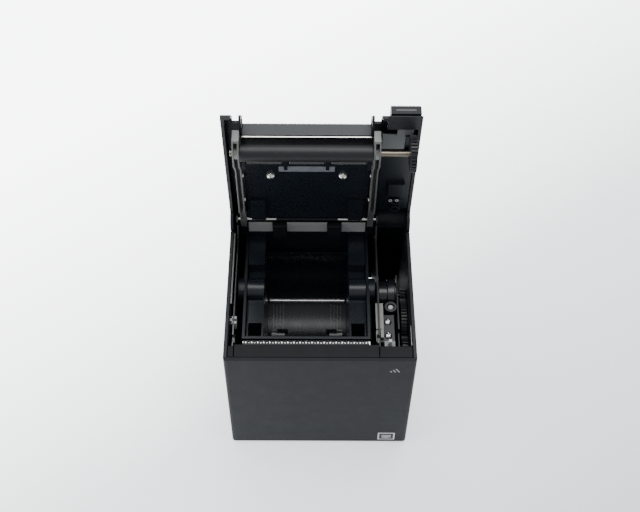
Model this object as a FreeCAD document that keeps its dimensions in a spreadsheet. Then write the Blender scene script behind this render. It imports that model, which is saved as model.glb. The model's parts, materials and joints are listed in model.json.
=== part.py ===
import FreeCAD, Part
import Sketcher
import math
import os
import re

# Compact receipt printer, drawn with its roll cover open.
# X runs to the right, Y to the rear, Z up; the origin is the centre of the footprint on the table.
# Pieces of the cover are drawn in the closed position and then turned about the hinge line.

SIZES = {
    # outer case
    "overall_width": 127, "overall_depth": 127, "overall_height": 127,
    "cover_height": 11.7, "parting_gap": 0.3, "wall": 2.4, "panel_thickness": 2.6,
    "inner_gap": 0.3, "foot_height": 2.5, "foot_radius": 6, "foot_inset": 14,
    "base_floor": 2.4, "base_rim": 9,
    # hinge line, measured in from the rear and top faces
    "hinge_setback": 10, "hinge_gap": 0.6, "open_angle": 85, "rod_radius": 1.6, "running_gap": 0.06,
    "motor_collar": 1.2,
    # printing line: every part of the mechanism is centred on this X
    "mechanism_offset": -9.3, "paper_width": 80, "paper_gap": 1.8, "narrow_width": 58, "narrow_gap": 0.8,
    # roll compartment, placed from the rear, the top and the parting plane
    "roll_radius": 43, "roll_setback": 52.5, "roll_depth": 63, "tray_gap": 0.4, "tray_wall": 2,
    "insert_floor": 1.6, "tray_drop": 16.3, "insert_drop": 15.3, "insert_front_drop": 23.3,
    "barrel_radius": 9,
    # platen, measured in from the front face
    "platen_setback": 24, "platen_drop": 12, "platen_radius": 5.5, "platen_spare": 2.2, "shaft_radius": 2,
    "bearing_radius": 4,
    "gear_module": 0.75, "tooth_gap": 0.12, "gear_inset": 7.1, "gear_face": 4,
    "platen_teeth": 30, "output_teeth": 22, "idler_teeth": 44, "pinion_teeth": 10,
    "output_lean": 10, "idler_lean": -12, "pinion_lean": 28, "mesh_gap": 0.08, "arbor_radius": 1.5,
    # cover; setbacks are measured from the front face
    "cover_wall": 2.2, "cover_setback": 2, "slope_run": 11.5, "slope_drop": 9,
    "exit_setback": 19, "exit_gap": 1.2, "exit_round": 2.4, "band_thickness": 1.8,
    "horn_width": 1.5, "notch_width": 5, "notch_setback": 18.5,
    "arm_gap": 2.7, "arm_width": 4.4, "sheet": 1, "arm_setback": 13, "arm_drop": 16.5,
    "guide_setback": 36, "guide_drop": 9, "guide_radius": 2.3, "guide_cheek": 2.4,
    "axle_radius": 1,
    "cover_panel_drop": 4, "cover_panel_near": 8, "cover_panel_setback": 43,
    "blade_thickness": 0.8, "blade_drop": 3, "blade_depth": 8.5,
    # side plates and latch
    "plate_gap": 9, "plate_drop": 11.3, "ear_radius": 5, "hook_gap": 7.4, "hook_sheet": 1.2,
    "latch_setback": 13.5, "latch_drop": 27.3, "latch_rod_radius": 1.5,
    # front of the body
    "trim_depth": 9.8, "trim_thickness": 1.2, "trim_left_gap": 7.2, "trim_right_gap": 8.1,
    "cutter_travel": 4.5, "tooth_count": 42, "comb_tooth": 2.2,
    "cutter_pinion_teeth": 8, "cutter_motor_radius": 3.5, "cutter_setback": 7.1,
    "head_height": 19, "head_thickness": 2.6, "head_gap": 0.3, "spring_radius": 2.2, "spring_wire": 0.5,
    # buttons of the cover, measured in from the right side
    "button_width": 19.2, "button_inset": 0.8, "button_setback": 13, "button_slope": 3, "button_travel": 1.2,
    "key_radius": 3.2, "key_inset": 12.5, "feed_key_setback": 33, "power_key_setback": 49, "key_travel": 0.8,
    "key_gap": 0.3, "key_flange": 0.9, "lens_half": 4,
    # motor and sockets
    "motor_radius": 10, "socket_inset": 5.5, "socket_floor": 14, "socket_wall": 1.2,
    "socket_row_height": 17, "screw_head": 2.9,
}

# Places that follow from the sizes, each written as the sheet names that it stands for.
PLACES = {
    "parting_height": "(overall_height - cover_height)",
    "depth_to_hinge": "(overall_depth - hinge_setback)",
    "platen_reach": "(depth_to_hinge - platen_setback)",
    "exit_reach": "(depth_to_hinge - exit_setback)",
    "notch_reach": "(depth_to_hinge - notch_setback)",
    "arm_tip": "(depth_to_hinge - arm_setback)",
    "guide_reach": "(depth_to_hinge - guide_setback)",
    "button_reach_in": "(depth_to_hinge - button_setback)",
    "feed_key_reach": "(depth_to_hinge - feed_key_setback)",
    "power_key_reach": "(depth_to_hinge - power_key_setback)",
    "cover_panel_far": "(depth_to_hinge - cover_panel_setback)",
    "platen_half": "(paper_width / 2 + platen_spare)",
    "arm_inner": "(paper_width / 2 + arm_gap)",
    "guide_pitch": "((arm_inner - guide_cheek / 2 - 0.55) / 1.5)",
    "guide_length": "(guide_pitch - guide_cheek - 2.6)",
    "exit_half": "(paper_width / 2 + exit_gap)",
    "plate_reach": "(paper_width / 2 + plate_gap)",
    "hook_reach": "(paper_width / 2 + hook_gap)",
    "trim_left": "(paper_width / 2 + trim_left_gap)",
    "trim_right": "(paper_width / 2 + trim_right_gap)",
    "gear_x": "(overall_width / 2 - gear_inset)",
    "key_x": "(overall_width / 2 - key_inset)",
    "button_left": "(overall_width / 2 - button_inset - button_width)",
    "button_right": "(overall_width / 2 - button_inset)",
    "motor_left": "(mechanism_offset + plate_reach + sheet + inner_gap)",
    "roll_y": "(overall_depth / 2 - roll_setback)",
    "roll_z": "(overall_height - roll_depth)",
    "tray_top": "(parting_height - tray_drop)",
    "insert_top": "(parting_height - insert_drop)",
    "insert_front_top": "(parting_height - insert_front_drop)",
    "plate_top": "(parting_height - plate_drop)",
    "latch_y": "(latch_setback - overall_depth / 2)",
    "latch_z": "(parting_height - latch_drop)",
    "cutter_pinion_y": "(cutter_setback - overall_depth / 2)",
    "socket_y": "(overall_depth / 2 - socket_inset)",
    "switch_y": "(latch_y + 3)",
}

doc = FreeCAD.newDocument("receipt_printer")
sheet = doc.addObject("Spreadsheet::Sheet", "sizes")
for row, (alias, value) in enumerate(SIZES.items(), 1):
    sheet.set("A%d" % row, alias)
    sheet.set("B%d" % row, str(value))
    sheet.setAlias("B%d" % row, alias)
doc.recompute()

V = FreeCAD.Vector
WORD = re.compile(r"[a-z]+(?:_[a-z]+)*")
NODES = []

# Places worked out from the sheet, written as expressions.
MID = "mechanism_offset"
SIDE = "(overall_width / 2)"
FRONT = "(-overall_depth / 2)"
COVER_FRONT = "(cover_setback - overall_depth / 2)"
REAR = "(overall_depth / 2)"
TOP = "overall_height"
DECK = "parting_height"
HINGE_Y = "(overall_depth / 2 - hinge_setback)"
HINGE_Z = "(overall_height - hinge_setback)"
INNER_SIDE = "(overall_width / 2 - wall - inner_gap)"
INNER_FRONT = "(-overall_depth / 2 + panel_thickness + inner_gap)"
PLATEN_Y = "(platen_setback - overall_depth / 2)"
PLATEN_Z = "(overall_height - hinge_setback - platen_drop)"
BAY = "(paper_width / 2 + paper_gap)"
SLOT = "(narrow_width / 2 + narrow_gap)"
GEAR_RIGHT = "(gear_x + gear_face)"


def spell_out(text):
    """Write each place as the sheet names that it stands for."""
    wider = WORD.sub(lambda found: PLACES.get(found.group(), found.group()), str(text))
    return wider if wider == str(text) else spell_out(wider)


def ex(text):
    """Point each sheet name in an expression at its cell."""
    def point(found):
        name = found.group()
        return "<<sizes>>." + name if name in SIZES else name
    return WORD.sub(point, spell_out(text))


def value(text):
    """The number that an expression of sheet names stands for."""
    names = {name: float(sheet.get(name)) for name in SIZES}
    plain = WORD.sub(lambda found: repr(names[found.group()]), spell_out(text))
    return FreeCAD.Units.Quantity("(" + plain + ") * 1").Value


def reach(distance):
    """Y of a cover piece that lies this far from the hinge, cover closed."""
    return "(%s - (%s))" % (HINGE_Y, distance)


def rise(height):
    """Z of a cover piece this far above the hinge, cover closed."""
    return "(%s + (%s))" % (HINGE_Z, height)


def right_of(distance):
    """X measured from the printing line."""
    return "(mechanism_offset + (%s))" % distance


def bind(thing, prop, text):
    thing.setExpression(prop, ex(text))


def box(name, x, y, z):
    solid = doc.addObject("Part::Box", name)
    for prop, axis, (low, high) in zip(("Length", "Width", "Height"), "xyz", (x, y, z)):
        bind(solid, prop, "(%s) - (%s)" % (high, low))
        bind(solid, ".Placement.Base." + axis, low)
    return solid


def rod(name, axis, radius, x, y, z):
    """A cylinder; the pair of limits among x, y and z gives its run."""
    solid = doc.addObject("Part::Cylinder", name)
    turn = {"x": FreeCAD.Rotation(V(0, 1, 0), 90), "y": FreeCAD.Rotation(V(1, 0, 0), -90),
            "z": FreeCAD.Rotation()}[axis]
    solid.Placement = FreeCAD.Placement(V(), turn)
    places = {"x": x, "y": y, "z": z}
    low, high = places[axis]
    places[axis] = low
    bind(solid, "Radius", radius)
    bind(solid, "Height", "(%s) - (%s)" % (high, low))
    for letter in "xyz":
        bind(solid, ".Placement.Base." + letter, places[letter])
    return solid


def fuse(name, pieces):
    joined = doc.addObject("Part::MultiFuse", name)
    joined.Shapes = pieces
    joined.Refine = True
    return joined


def cut(name, base, tools):
    tool = tools[0] if len(tools) == 1 else fuse(name + "_tools", tools)
    result = doc.addObject("Part::Cut", name)
    result.Base = base
    result.Tool = tool
    result.Refine = True
    return result


def group(name, pieces):
    """Separate solids kept in one sub-part."""
    result = doc.addObject("Part::Compound", name)
    result.Links = pieces
    return result


def origin_plane(body, role):
    return [feature for feature in body.Origin.OriginFeatures if feature.Role == role][0]


def sketch_loop(sketch, points):
    """A closed outline whose corners are bound to the sheet."""
    spots = [V(value(a), value(b), 0) for a, b in points]
    count = len(points)
    for i in range(count):
        sketch.addGeometry(Part.LineSegment(spots[i], spots[(i + 1) % count]), False)
    for i in range(count):
        sketch.addConstraint(Sketcher.Constraint("Coincident", i, 2, (i + 1) % count, 1))
    for i, (a, b) in enumerate(points):
        for kind, text, number in (("DistanceX", a, spots[i].x), ("DistanceY", b, spots[i].y)):
            index = sketch.addConstraint(Sketcher.Constraint(kind, -1, 1, i, 1, number))
            bind(sketch, "Constraints[%d]" % index, text)


def plate(name, plane, points, low, high):
    """A PartDesign pad of an outline between two offsets along the plane's normal."""
    body = doc.addObject("PartDesign::Body", name)
    sketch = body.newObject("Sketcher::SketchObject", name + "_outline")
    sketch.AttachmentSupport = (origin_plane(body, plane), [""])
    sketch.MapMode = "FlatFace"
    bind(sketch, ".AttachmentOffset.Base.z", low)
    sketch_loop(sketch, points)
    pad = body.newObject("PartDesign::Pad", name + "_pad")
    pad.Profile = sketch
    bind(pad, "Length", "(%s) - (%s)" % (high, low))
    doc.recompute()
    return body


def gear(name, teeth, bore, x, y, z, face="gear_face", turn=0):
    """A spur gear on an axis along X: one tooth on a blank, repeated round it."""
    body = doc.addObject("PartDesign::Body", name)
    plane = origin_plane(body, "YZ_Plane")
    blank = body.newObject("Sketcher::SketchObject", name + "_blank")
    blank.AttachmentSupport = (plane, [""])
    blank.MapMode = "FlatFace"
    root = "gear_module * (%s / 2 - 1.2)" % teeth
    for index, radius in enumerate((root, bore)):
        blank.addGeometry(Part.Circle(V(), V(0, 0, 1), value(radius)), False)
        blank.addConstraint(Sketcher.Constraint("Coincident", index, 3, -1, 1))
        held = blank.addConstraint(Sketcher.Constraint("Radius", index, value(radius)))
        bind(blank, "Constraints[%d]" % held, radius)
    disc = body.newObject("PartDesign::Pad", name + "_disc")
    disc.Profile = blank
    bind(disc, "Length", face)
    tooth = body.newObject("Sketcher::SketchObject", name + "_tooth")
    tooth.AttachmentSupport = (plane, [""])
    tooth.MapMode = "FlatFace"
    base_half = "gear_module * 1.02 - tooth_gap / 2"
    tip_half = "gear_module * 0.38 - tooth_gap / 2"
    low = "gear_module * (%s / 2 - 1.5)" % teeth
    high = "gear_module * (%s / 2 + 0.9)" % teeth
    sketch_loop(tooth, [("-(%s)" % base_half, low), (base_half, low),
                        (tip_half, high), ("-(%s)" % tip_half, high)])
    pad = body.newObject("PartDesign::Pad", name + "_tooth_pad")
    pad.Profile = tooth
    bind(pad, "Length", face)
    doc.recompute()
    pattern = body.newObject("PartDesign::PolarPattern", name + "_teeth")
    pattern.Originals = [pad]
    pattern.Axis = (origin_plane(body, "X_Axis"), [""])
    pattern.Angle = 360
    pattern.Occurrences = int(value(teeth))
    body.Tip = pattern
    body.Placement = FreeCAD.Placement(V(), FreeCAD.Rotation(V(1, 0, 0), turn))
    for letter, text in zip("xyz", (x, y, z)):
        bind(body, ".Placement.Base." + letter, text)
    doc.recompute()
    return body


def base_node(label, thing):
    """Name a sub-part of the body of the printer."""
    thing.Label = label
    NODES.append(thing)


def cover_node(label, pieces):
    """Name a sub-part of the cover and turn it from closed to open about the hinge line."""
    holder = group(label, pieces)
    holder.Placement = FreeCAD.Placement(V(), FreeCAD.Rotation(V(1, 0, 0), -value("open_angle")))
    bind(holder, ".Placement.Rotation.Angle", "-open_angle")
    swing_cos = "cos(open_angle * 1deg)"
    swing_sin = "sin(open_angle * 1deg)"
    bind(holder, ".Placement.Base.y",
         "%s * (1 - %s) - %s * %s" % (HINGE_Y, swing_cos, HINGE_Z, swing_sin))
    bind(holder, ".Placement.Base.z",
         "%s * (1 - %s) + %s * %s" % (HINGE_Z, swing_cos, HINGE_Y, swing_sin))
    base_node(label, holder)


# ---------------------------------------------------------------- outer case
def case_shell():
    """Side and rear walls in one moulding, open at the front and hollowed round the hinge."""
    outer = box("case_block", ("-" + SIDE, SIDE), (FRONT + " + panel_thickness", REAR),
                ("foot_height", DECK))
    inner = box("case_inside", ("-(%s - wall)" % SIDE, "%s - wall" % SIDE), (FRONT, REAR + " - wall"),
                ("foot_height - 1", DECK + " + 1"))
    swing = rod("case_hinge_relief", "x", "hinge_setback + hinge_gap", ("-" + SIDE + " - 1", SIDE + " + 1"),
                HINGE_Y, HINGE_Z)
    window = box("case_socket_window", ("-40", "46"), (REAR + " - wall - 1", REAR + " + 1"), ("8", "34"))
    base_node("case_shell", cut("case_shell", outer, [inner, swing, window]))


def bottom_tray():
    """Floor of the printer with a low rim, and the four rubber feet under it."""
    floor = box("tray_block", ("-" + INNER_SIDE, INNER_SIDE), (INNER_FRONT, REAR + " - wall - inner_gap"),
                ("foot_height", "foot_height + base_rim"))
    hollow = box("tray_hollow", ("-(%s - wall)" % INNER_SIDE, "%s - wall" % INNER_SIDE),
                 (INNER_FRONT + " + wall", "%s - 2 * wall - inner_gap" % REAR),
                 ("foot_height + base_floor", "foot_height + base_rim + 1"))
    base_node("bottom_tray", cut("bottom_tray", floor, [hollow]))
    feet = []
    for i, (x, y) in enumerate(((-1, -1), (1, -1), (-1, 1), (1, 1))):
        feet.append(rod("foot%d" % i, "z", "foot_radius", "%d * (%s - foot_inset)" % (x, SIDE),
                        "%d * (%s - foot_inset)" % (y, REAR), ("0", "foot_height")))
    base_node("rubber_feet", group("rubber_feet", feet))


def front_panel():
    """Flat front panel with softened corners."""
    low = "foot_height"
    body = plate("front_panel", "XZ_Plane",
                 [("-" + SIDE, low), (SIDE, low), (SIDE, DECK), ("-" + SIDE, DECK)],
                 REAR + " - panel_thickness", REAR)
    base_node("front_panel", body)


def front_trim():
    """Strip of the paper exit between the two front shoulders, and the toothed tear comb behind it."""
    left = right_of("-trim_left")
    right = right_of("trim_right")
    front = INNER_FRONT
    rear = INNER_FRONT + " + trim_depth"
    strip = box("trim_strip", (left, right), (front, rear), (DECK + " - trim_thickness", DECK))
    lip = box("trim_lip", (left, right), (front, front + " + 1.2"), (DECK + " - 1.8", DECK))
    base_node("front_trim", fuse("front_trim", [strip, lip]))
    blade = box("comb_blade", (right_of("-" + BAY), right_of(BAY)), (rear + " + 0.1", rear + " + 1.3"),
                (DECK + " - trim_thickness", DECK + " - 0.4"))
    teeth = []
    step = "(2 * %s / tooth_count)" % BAY
    for i in range(int(value("tooth_count"))):
        x = "mechanism_offset - %s + %s * %d" % (BAY, step, i)
        teeth.append(box("comb_tooth%d" % i, ("%s + %s * 0.2" % (x, step), "%s + %s * 0.8" % (x, step)),
                         (rear + " + 1.2", rear + " + 1.2 + comb_tooth"),
                         (DECK + " - trim_thickness", DECK + " - 0.4")))
    base_node("tear_comb", fuse("tear_comb", [blade] + teeth))


def shoulders():
    """Two moulded front corners; the right one is hollow and houses the cutter motor."""
    rear = INNER_FRONT + " + trim_depth - 1"
    left = box("left_shoulder", ("-" + INNER_SIDE, right_of("-trim_left - inner_gap")), (INNER_FRONT, rear),
               (DECK + " - 11", DECK))
    block = box("right_shoulder_block", (right_of("trim_right + inner_gap"), INNER_SIDE), (INNER_FRONT, rear),
                (DECK + " - 13", DECK))
    hollow = box("right_shoulder_hollow", (right_of("trim_right - 1"), INNER_SIDE + " - 1.6"),
                 (INNER_FRONT + " - 1", rear + " - 1"), (DECK + " - 14", DECK + " - 1.6"))
    base_node("front_shoulders", group("front_shoulders", [left, cut("right_shoulder", block, [hollow])]))


def sockets():
    """Recessed socket panel at the rear with its four connectors, and the main board."""
    face = "socket_y"
    low = "socket_floor"
    high = "socket_floor + socket_row_height"
    kinds = [("dc_inlet", -31, 12, 11), ("drawer_socket", -12, 13, 12), ("lan_socket", 10, 16, 13.5),
             ("usb_socket", 32, 12, 10.5)]
    windows = []
    for name, x, width, height in kinds:
        windows.append(box(name + "_window",
                           ("%s - %s / 2 - 0.2" % (x, width), "%s + %s / 2 + 0.2" % (x, width)),
                           (face + " - 1", face + " + 2"), (low + " - 0.2", "%s + %s + 0.2" % (low, height))))
    panel = box("socket_panel_block", ("-39.6", "45.6"), (face, face + " + 1"),
                ("foot_height + base_rim + 0.3", high))
    base_node("socket_panel", cut("socket_panel", panel, windows))
    for name, x, width, height in kinds:
        shell = box(name + "_shell", ("%s - %s / 2" % (x, width), "%s + %s / 2" % (x, width)),
                    (face + " - 11", face + " + 0.8"), (low, "%s + %s" % (low, height)))
        if name == "dc_inlet":
            hole = rod(name + "_bore", "y", "3.2", str(x), (face + " - 9", face + " + 2"),
                       "%s + %s / 2" % (low, height))
            pin = rod(name + "_pin", "y", "0.8", str(x), (face + " - 10", face + " - 1"),
                      "%s + %s / 2" % (low, height))
            base_node(name, fuse(name, [cut(name + "_body", shell, [hole]), pin]))
        else:
            hole = box(name + "_mouth",
                       ("%s - %s / 2 + socket_wall" % (x, width), "%s + %s / 2 - socket_wall" % (x, width)),
                       (face + " - 10", face + " + 2"),
                       (low + " + socket_wall", "%s + %s - socket_wall" % (low, height)))
            base_node(name, cut(name, shell, [hole]))
    board = box("main_board", ("-%s + 10.8" % INNER_SIDE, INNER_SIDE + " - 10.8"),
                (face + " - 88", face + " - 0.5"), ("foot_height + base_rim + 0.3", low))
    base_node("main_board", board)


# ---------------------------------------------------------------- steel frame
def side_plates():
    """Upright steel sheets that carry the hinge, the latch and the head."""
    front, step, foot = FRONT + " + 7.5", FRONT + " + 12.6", DECK + " - 81.3"
    for label, sign, outer in (("side_plate_left", -1, "(plate_reach + sheet)"),
                               ("side_plate_right", 1, "plate_reach")):
        low = right_of("%d * %s" % (sign, outer))
        high = low + " + sheet"
        sheet_plate = plate(label + "_sheet", "YZ_Plane",
                            [(front, foot), (HINGE_Y + " - 2", foot), (HINGE_Y + " - 2", HINGE_Z + " - 6"),
                             (HINGE_Y + " + 3", HINGE_Z + " - 3"), (HINGE_Y + " - 3", HINGE_Z + " - 3"),
                             (HINGE_Y + " - 10", "plate_top"), (step, "plate_top"),
                             (step, DECK + " - 13.6"), (front, DECK + " - 13.6")], low, high)
        ear = rod(label + "_ear", "x", "ear_radius", (low, high), HINGE_Y, HINGE_Z)
        hole = rod(label + "_hole", "x", "rod_radius", (low + " - 1", high + " + 1"), HINGE_Y, HINGE_Z)
        slot = box(label + "_slot", (low + " - 1", high + " + 1"), (PLATEN_Y + " - 3.2", PLATEN_Y + " + 3.2"),
                   (PLATEN_Z + " - 3.2", "plate_top + 1"))
        pivot = rod(label + "_pivot", "x", "latch_rod_radius + running_gap", (low + " - 1", high + " + 1"),
                    "latch_y", "latch_z")
        shape = cut(label, fuse(label + "_blank", [sheet_plate, ear]), [hole, slot, pivot])
        base_node(label, shape)


def hinge_line():
    """Hinge rod and the folded steel crossbar in front of it with its two plastic tabs."""
    ends = (right_of("-plate_reach - sheet"), right_of("plate_reach + sheet"))
    base_node("hinge_rod", rod("hinge_rod", "x", "rod_radius", ends, HINGE_Y, HINGE_Z))
    low, high = HINGE_Z + " - 11", HINGE_Z + " - 0.5"
    strips = []
    spans = (("-" + BAY, "-24.5"), ("-14.5", "14.5"), ("24.5", BAY))
    for i, (left, right) in enumerate(spans):
        strips.append(box("crossbar%d" % i, (right_of(left), right_of(right)),
                          (HINGE_Y + " - 3.3", HINGE_Y + " - 2.1"), (low, high)))
    beam = box("crossbar_beam", (right_of("-plate_reach + 1"), right_of("plate_reach - 1")),
               (HINGE_Y + " - 2.1", HINGE_Y + " - 0.9"), (low + " - 4", low + " + 4"))
    base_node("rear_crossbar", fuse("rear_crossbar", strips + [beam]))
    tabs = []
    for i, side in enumerate((-1, 1)):
        x = right_of("%d * 19.5" % side)
        tabs.append(box("tab%d" % i, (x + " - 4.6", x + " + 4.6"), (HINGE_Y + " - 6.9", HINGE_Y + " - 3.3"),
                        (low + " - 2", high)))
    base_node("paper_tabs", group("paper_tabs", tabs))


def roll_tray():
    """Moulded bucket that the paper roll drops into."""
    radius = "(roll_radius + insert_floor + tray_gap)"
    low, high = right_of("-%s - tray_wall" % BAY), right_of(BAY + " + tray_wall")
    across = (right_of("-" + BAY), right_of(BAY))
    outer = radius + " + tray_wall"
    round_part = rod("tray_round", "x", outer, (low, high), "roll_y", "roll_z")
    upper = box("tray_upper", (low, high), ("roll_y - (%s)" % outer, "roll_y + " + outer),
                ("roll_z", "tray_top"))
    bowl = rod("tray_bowl", "x", radius, across, "roll_y", "roll_z")
    mouth = box("tray_mouth", across, ("roll_y - " + radius, "roll_y + " + radius),
                ("roll_z", "tray_top + 60"))
    above = box("tray_above", (low + " - 1", high + " + 1"), ("roll_y - 80", "roll_y + 80"),
                ("tray_top", "tray_top + 60"))
    bucket = cut("tray_bucket", fuse("tray_blank", [round_part, upper]), [bowl, mouth, above])
    bosses = []
    for i, (left, right) in enumerate(((low + " - 4.1", low + " + 0.5"), (high + " - 0.5", high + " + 4.1"))):
        bosses.append(rod("tray_boss%d" % i, "x", "barrel_radius", (left, right), "roll_y - 2",
                          "insert_top - barrel_radius"))
    base_node("roll_tray", fuse("roll_tray", [bucket] + bosses))


def width_insert():
    """Removable guide that narrows the bucket: two stepped cheeks joined by a curved floor."""
    outer = "(roll_radius + insert_floor)"
    pieces = []
    for i, side in enumerate((-1, 1)):
        inner_x = "%d * %s" % (side, SLOT)
        outer_x = "%d * (%s - tray_gap)" % (side, BAY)
        low, high = (outer_x, inner_x) if side < 0 else (inner_x, outer_x)
        low, high = right_of(low), right_of(high)
        disc = rod("cheek%d_disc" % i, "x", outer, (low, high), "roll_y", "roll_z")
        upper = box("cheek%d_upper" % i, (low, high), ("roll_y - %s" % outer, "roll_y + %s" % outer),
                    ("roll_z", "insert_top"))
        front_cut = box("cheek%d_front" % i, (low + " - 1", high + " + 1"), ("roll_y - 80", "roll_y - 9"),
                        ("insert_front_top", "insert_top + 30"))
        rear_cut = box("cheek%d_rear" % i, (low + " - 1", high + " + 1"), ("roll_y - 9", "roll_y + 14.3"),
                       ("insert_top - barrel_radius", "insert_top + 30"))
        pocket = box("cheek%d_pocket" % i, (low + " + 1.2", high + " - 1.2"), ("roll_y - 41", "roll_y - 30"),
                     ("insert_front_top - 16", "insert_top + 30"))
        barrel = rod("cheek%d_barrel" % i, "x", "barrel_radius", (low, high), "roll_y - 2",
                     "insert_top - barrel_radius")
        above = box("cheek%d_above" % i, (low + " - 1", high + " + 1"), ("roll_y - 80", "roll_y + 80"),
                    ("insert_top", "insert_top + 60"))
        blank = fuse("cheek%d_blank" % i, [disc, upper])
        body = cut("cheek%d_body" % i, blank, [front_cut, rear_cut, pocket, above])
        pieces.append(fuse("cheek%d" % i, [body, barrel]))
    low, high = right_of("-" + SLOT), right_of(SLOT)
    ring = rod("insert_ring", "x", outer, (low, high), "roll_y", "roll_z")
    bore = rod("insert_bore", "x", "roll_radius", (low + " - 1", high + " + 1"), "roll_y", "roll_z")
    above = box("insert_above", (low + " - 1", high + " + 1"), ("roll_y - 80", "roll_y + 80"),
                ("roll_z + 14", "roll_z + 80"))
    pieces.append(cut("insert_floor_plate", ring, [bore, above]))
    for i, side in enumerate((-1, 1)):
        x = "mechanism_offset + %d * 18.7" % side
        pieces.append(box("insert_foot%d" % i, (x + " - 4", x + " + 4"), ("roll_y + 6", "roll_y + 8"),
                          ("roll_z - roll_radius - 0.5", "roll_z - roll_radius + 4.5")))
    base_node("width_insert", fuse("width_insert", pieces))


# ---------------------------------------------------------------- printing and cutting
def print_head():
    """Head carrier with its ceramic strip, the frame behind it and three springs between."""
    face = PLATEN_Y + " - platen_radius - head_gap"
    back = face + " - head_thickness"
    low, high = right_of("-platen_half + 1"), right_of("platen_half - 1")
    foot = "(%s - head_height / 2 - 4)" % PLATEN_Z
    carrier = box("head_carrier", (low, high), (back, face + " - 0.7"),
                  (foot, PLATEN_Z + " + head_height / 2 - 3.8"))
    pivot_y = "(%s + head_thickness / 2 - 0.35)" % back
    pivots = [rod("head_pivot%d" % i, "x", "0.9", span, pivot_y, foot + " + 1.2")
              for i, span in enumerate(((low + " - 2", low + " + 1"), (high + " - 1", high + " + 2")))]
    base_node("print_head", fuse("print_head", [carrier] + pivots))
    strip = box("ceramic_strip", (low + " + 1.5", high + " - 1.5"), (face + " - 0.7", face),
                (PLATEN_Z + " - 4.5", PLATEN_Z + " + 4.5"))
    base_node("head_ceramic", strip)
    bracket_y = back + " - 4.2"
    bracket = box("bracket_web", (low, high), (bracket_y, bracket_y + " + sheet"),
                  ("latch_z + 4", PLATEN_Z + " + head_height / 2 - 3.8"))
    deck_top = "(%s - blade_drop - blade_thickness - 0.6)" % HINGE_Z
    deck = box("cutter_deck", (right_of("-%s - 1" % BAY), right_of(BAY + " - 4")),
               (INNER_FRONT + " + 1", INNER_FRONT + " + cutter_travel + 4.5"),
               (deck_top + " - 1.6", deck_top))
    base_node("mechanism_frame", group("mechanism_frame", [bracket, deck]))
    return [coil_spring("head_spring%d" % i, "y", 3, "1", right_of(x), bracket_y + " + sheet + 0.3", PLATEN_Z)
            for i, x in enumerate(("-28", "0", "28"))]


def coil_spring(name, axis, turns, pitch, x, y, z):
    """A flat-wire spring: one ring for each turn, joined by a thin bar; it starts at x, y, z."""
    pieces = []
    along = {"x": x, "y": y}[axis]
    for i in range(turns):
        low = "%s + %s * %d" % (along, pitch, i)
        spot = {"x": x, "y": y, "z": z}
        spot[axis] = (low, low + " + spring_wire")
        outer = rod("%s_outer%d" % (name, i), axis, "spring_radius", spot["x"], spot["y"], spot["z"])
        spot[axis] = (low + " - 1", low + " + spring_wire + 1")
        inner = rod("%s_inner%d" % (name, i), axis, "spring_radius - spring_wire",
                    spot["x"], spot["y"], spot["z"])
        pieces.append(cut("%s_ring%d" % (name, i), outer, [inner]))
    run = (along, "%s + %s * %d + spring_wire" % (along, pitch, turns - 1))
    side = {"x": ("%s - spring_wire / 2" % y, "%s + spring_wire / 2" % y),
            "y": ("%s - spring_wire / 2" % x, "%s + spring_wire / 2" % x)}[axis]
    height = ("%s + spring_radius - spring_wire" % z, "%s + spring_radius - spring_wire / 4" % z)
    if axis == "x":
        pieces.append(box(name + "_bar", run, side, height))
    else:
        pieces.append(box(name + "_bar", side, run, height))
    return fuse(name, pieces)


def cutter():
    """Cutter deck, its sliding blade with a rack, the pinion that drives it and the motor."""
    blade_top = "(%s - blade_drop - 0.3)" % HINGE_Z
    blade_low = "(%s - blade_thickness)" % blade_top
    front = INNER_FRONT + " + 1"
    edge = "(%s - exit_reach - blade_drop)" % HINGE_Y
    low, high = right_of("-" + BAY), right_of(BAY)
    rack_left, rack_right = right_of(BAY + " - 3.2"), right_of(BAY + " + 0.5")
    blade = box("blade_sheet", (low, rack_right), (front + " + 0.2", edge), (blade_low, blade_top))
    rack_base = box("rack_base", (rack_left, rack_right), (front + " + 0.2", INNER_FRONT + " + 7"),
                    (blade_low + " - 0.9", blade_low))
    teeth = []
    step = "(gear_module * pi)"
    pinion_y = "cutter_pinion_y"
    for i in range(-2, 2):
        middle = "%s + %s * (%d + 0.5)" % (pinion_y, step, i)
        teeth.append(box("rack_tooth%d" % (i + 2), (rack_left, rack_right),
                         (middle + " - gear_module * 0.5", middle + " + gear_module * 0.5"),
                         (blade_low + " - 0.9 - gear_module * 1.6", blade_low + " - 0.9")))
    base_node("cutter_blade", fuse("cutter_blade", [blade, rack_base] + teeth))
    pinion_z = "(%s - 0.9 - gear_module * (0.9 + cutter_pinion_teeth / 2) - 0.5)" % blade_low
    base_node("cutter_pinion", gear("cutter_pinion", "cutter_pinion_teeth", "0.8",
                                    rack_left + " + 0.3", pinion_y, pinion_z, "3"))
    start = right_of("trim_right + inner_gap + 0.6")
    can = rod("cutter_motor_can", "x", "cutter_motor_radius", (start + " + 1.2", start + " + 14"),
              pinion_y, pinion_z)
    arbor = rod("cutter_motor_arbor", "x", "0.75", (rack_left + " + 0.2", start + " + 1.3"),
                pinion_y, pinion_z)
    base_node("cutter_motor", fuse("cutter_motor", [can, arbor]))


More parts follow.
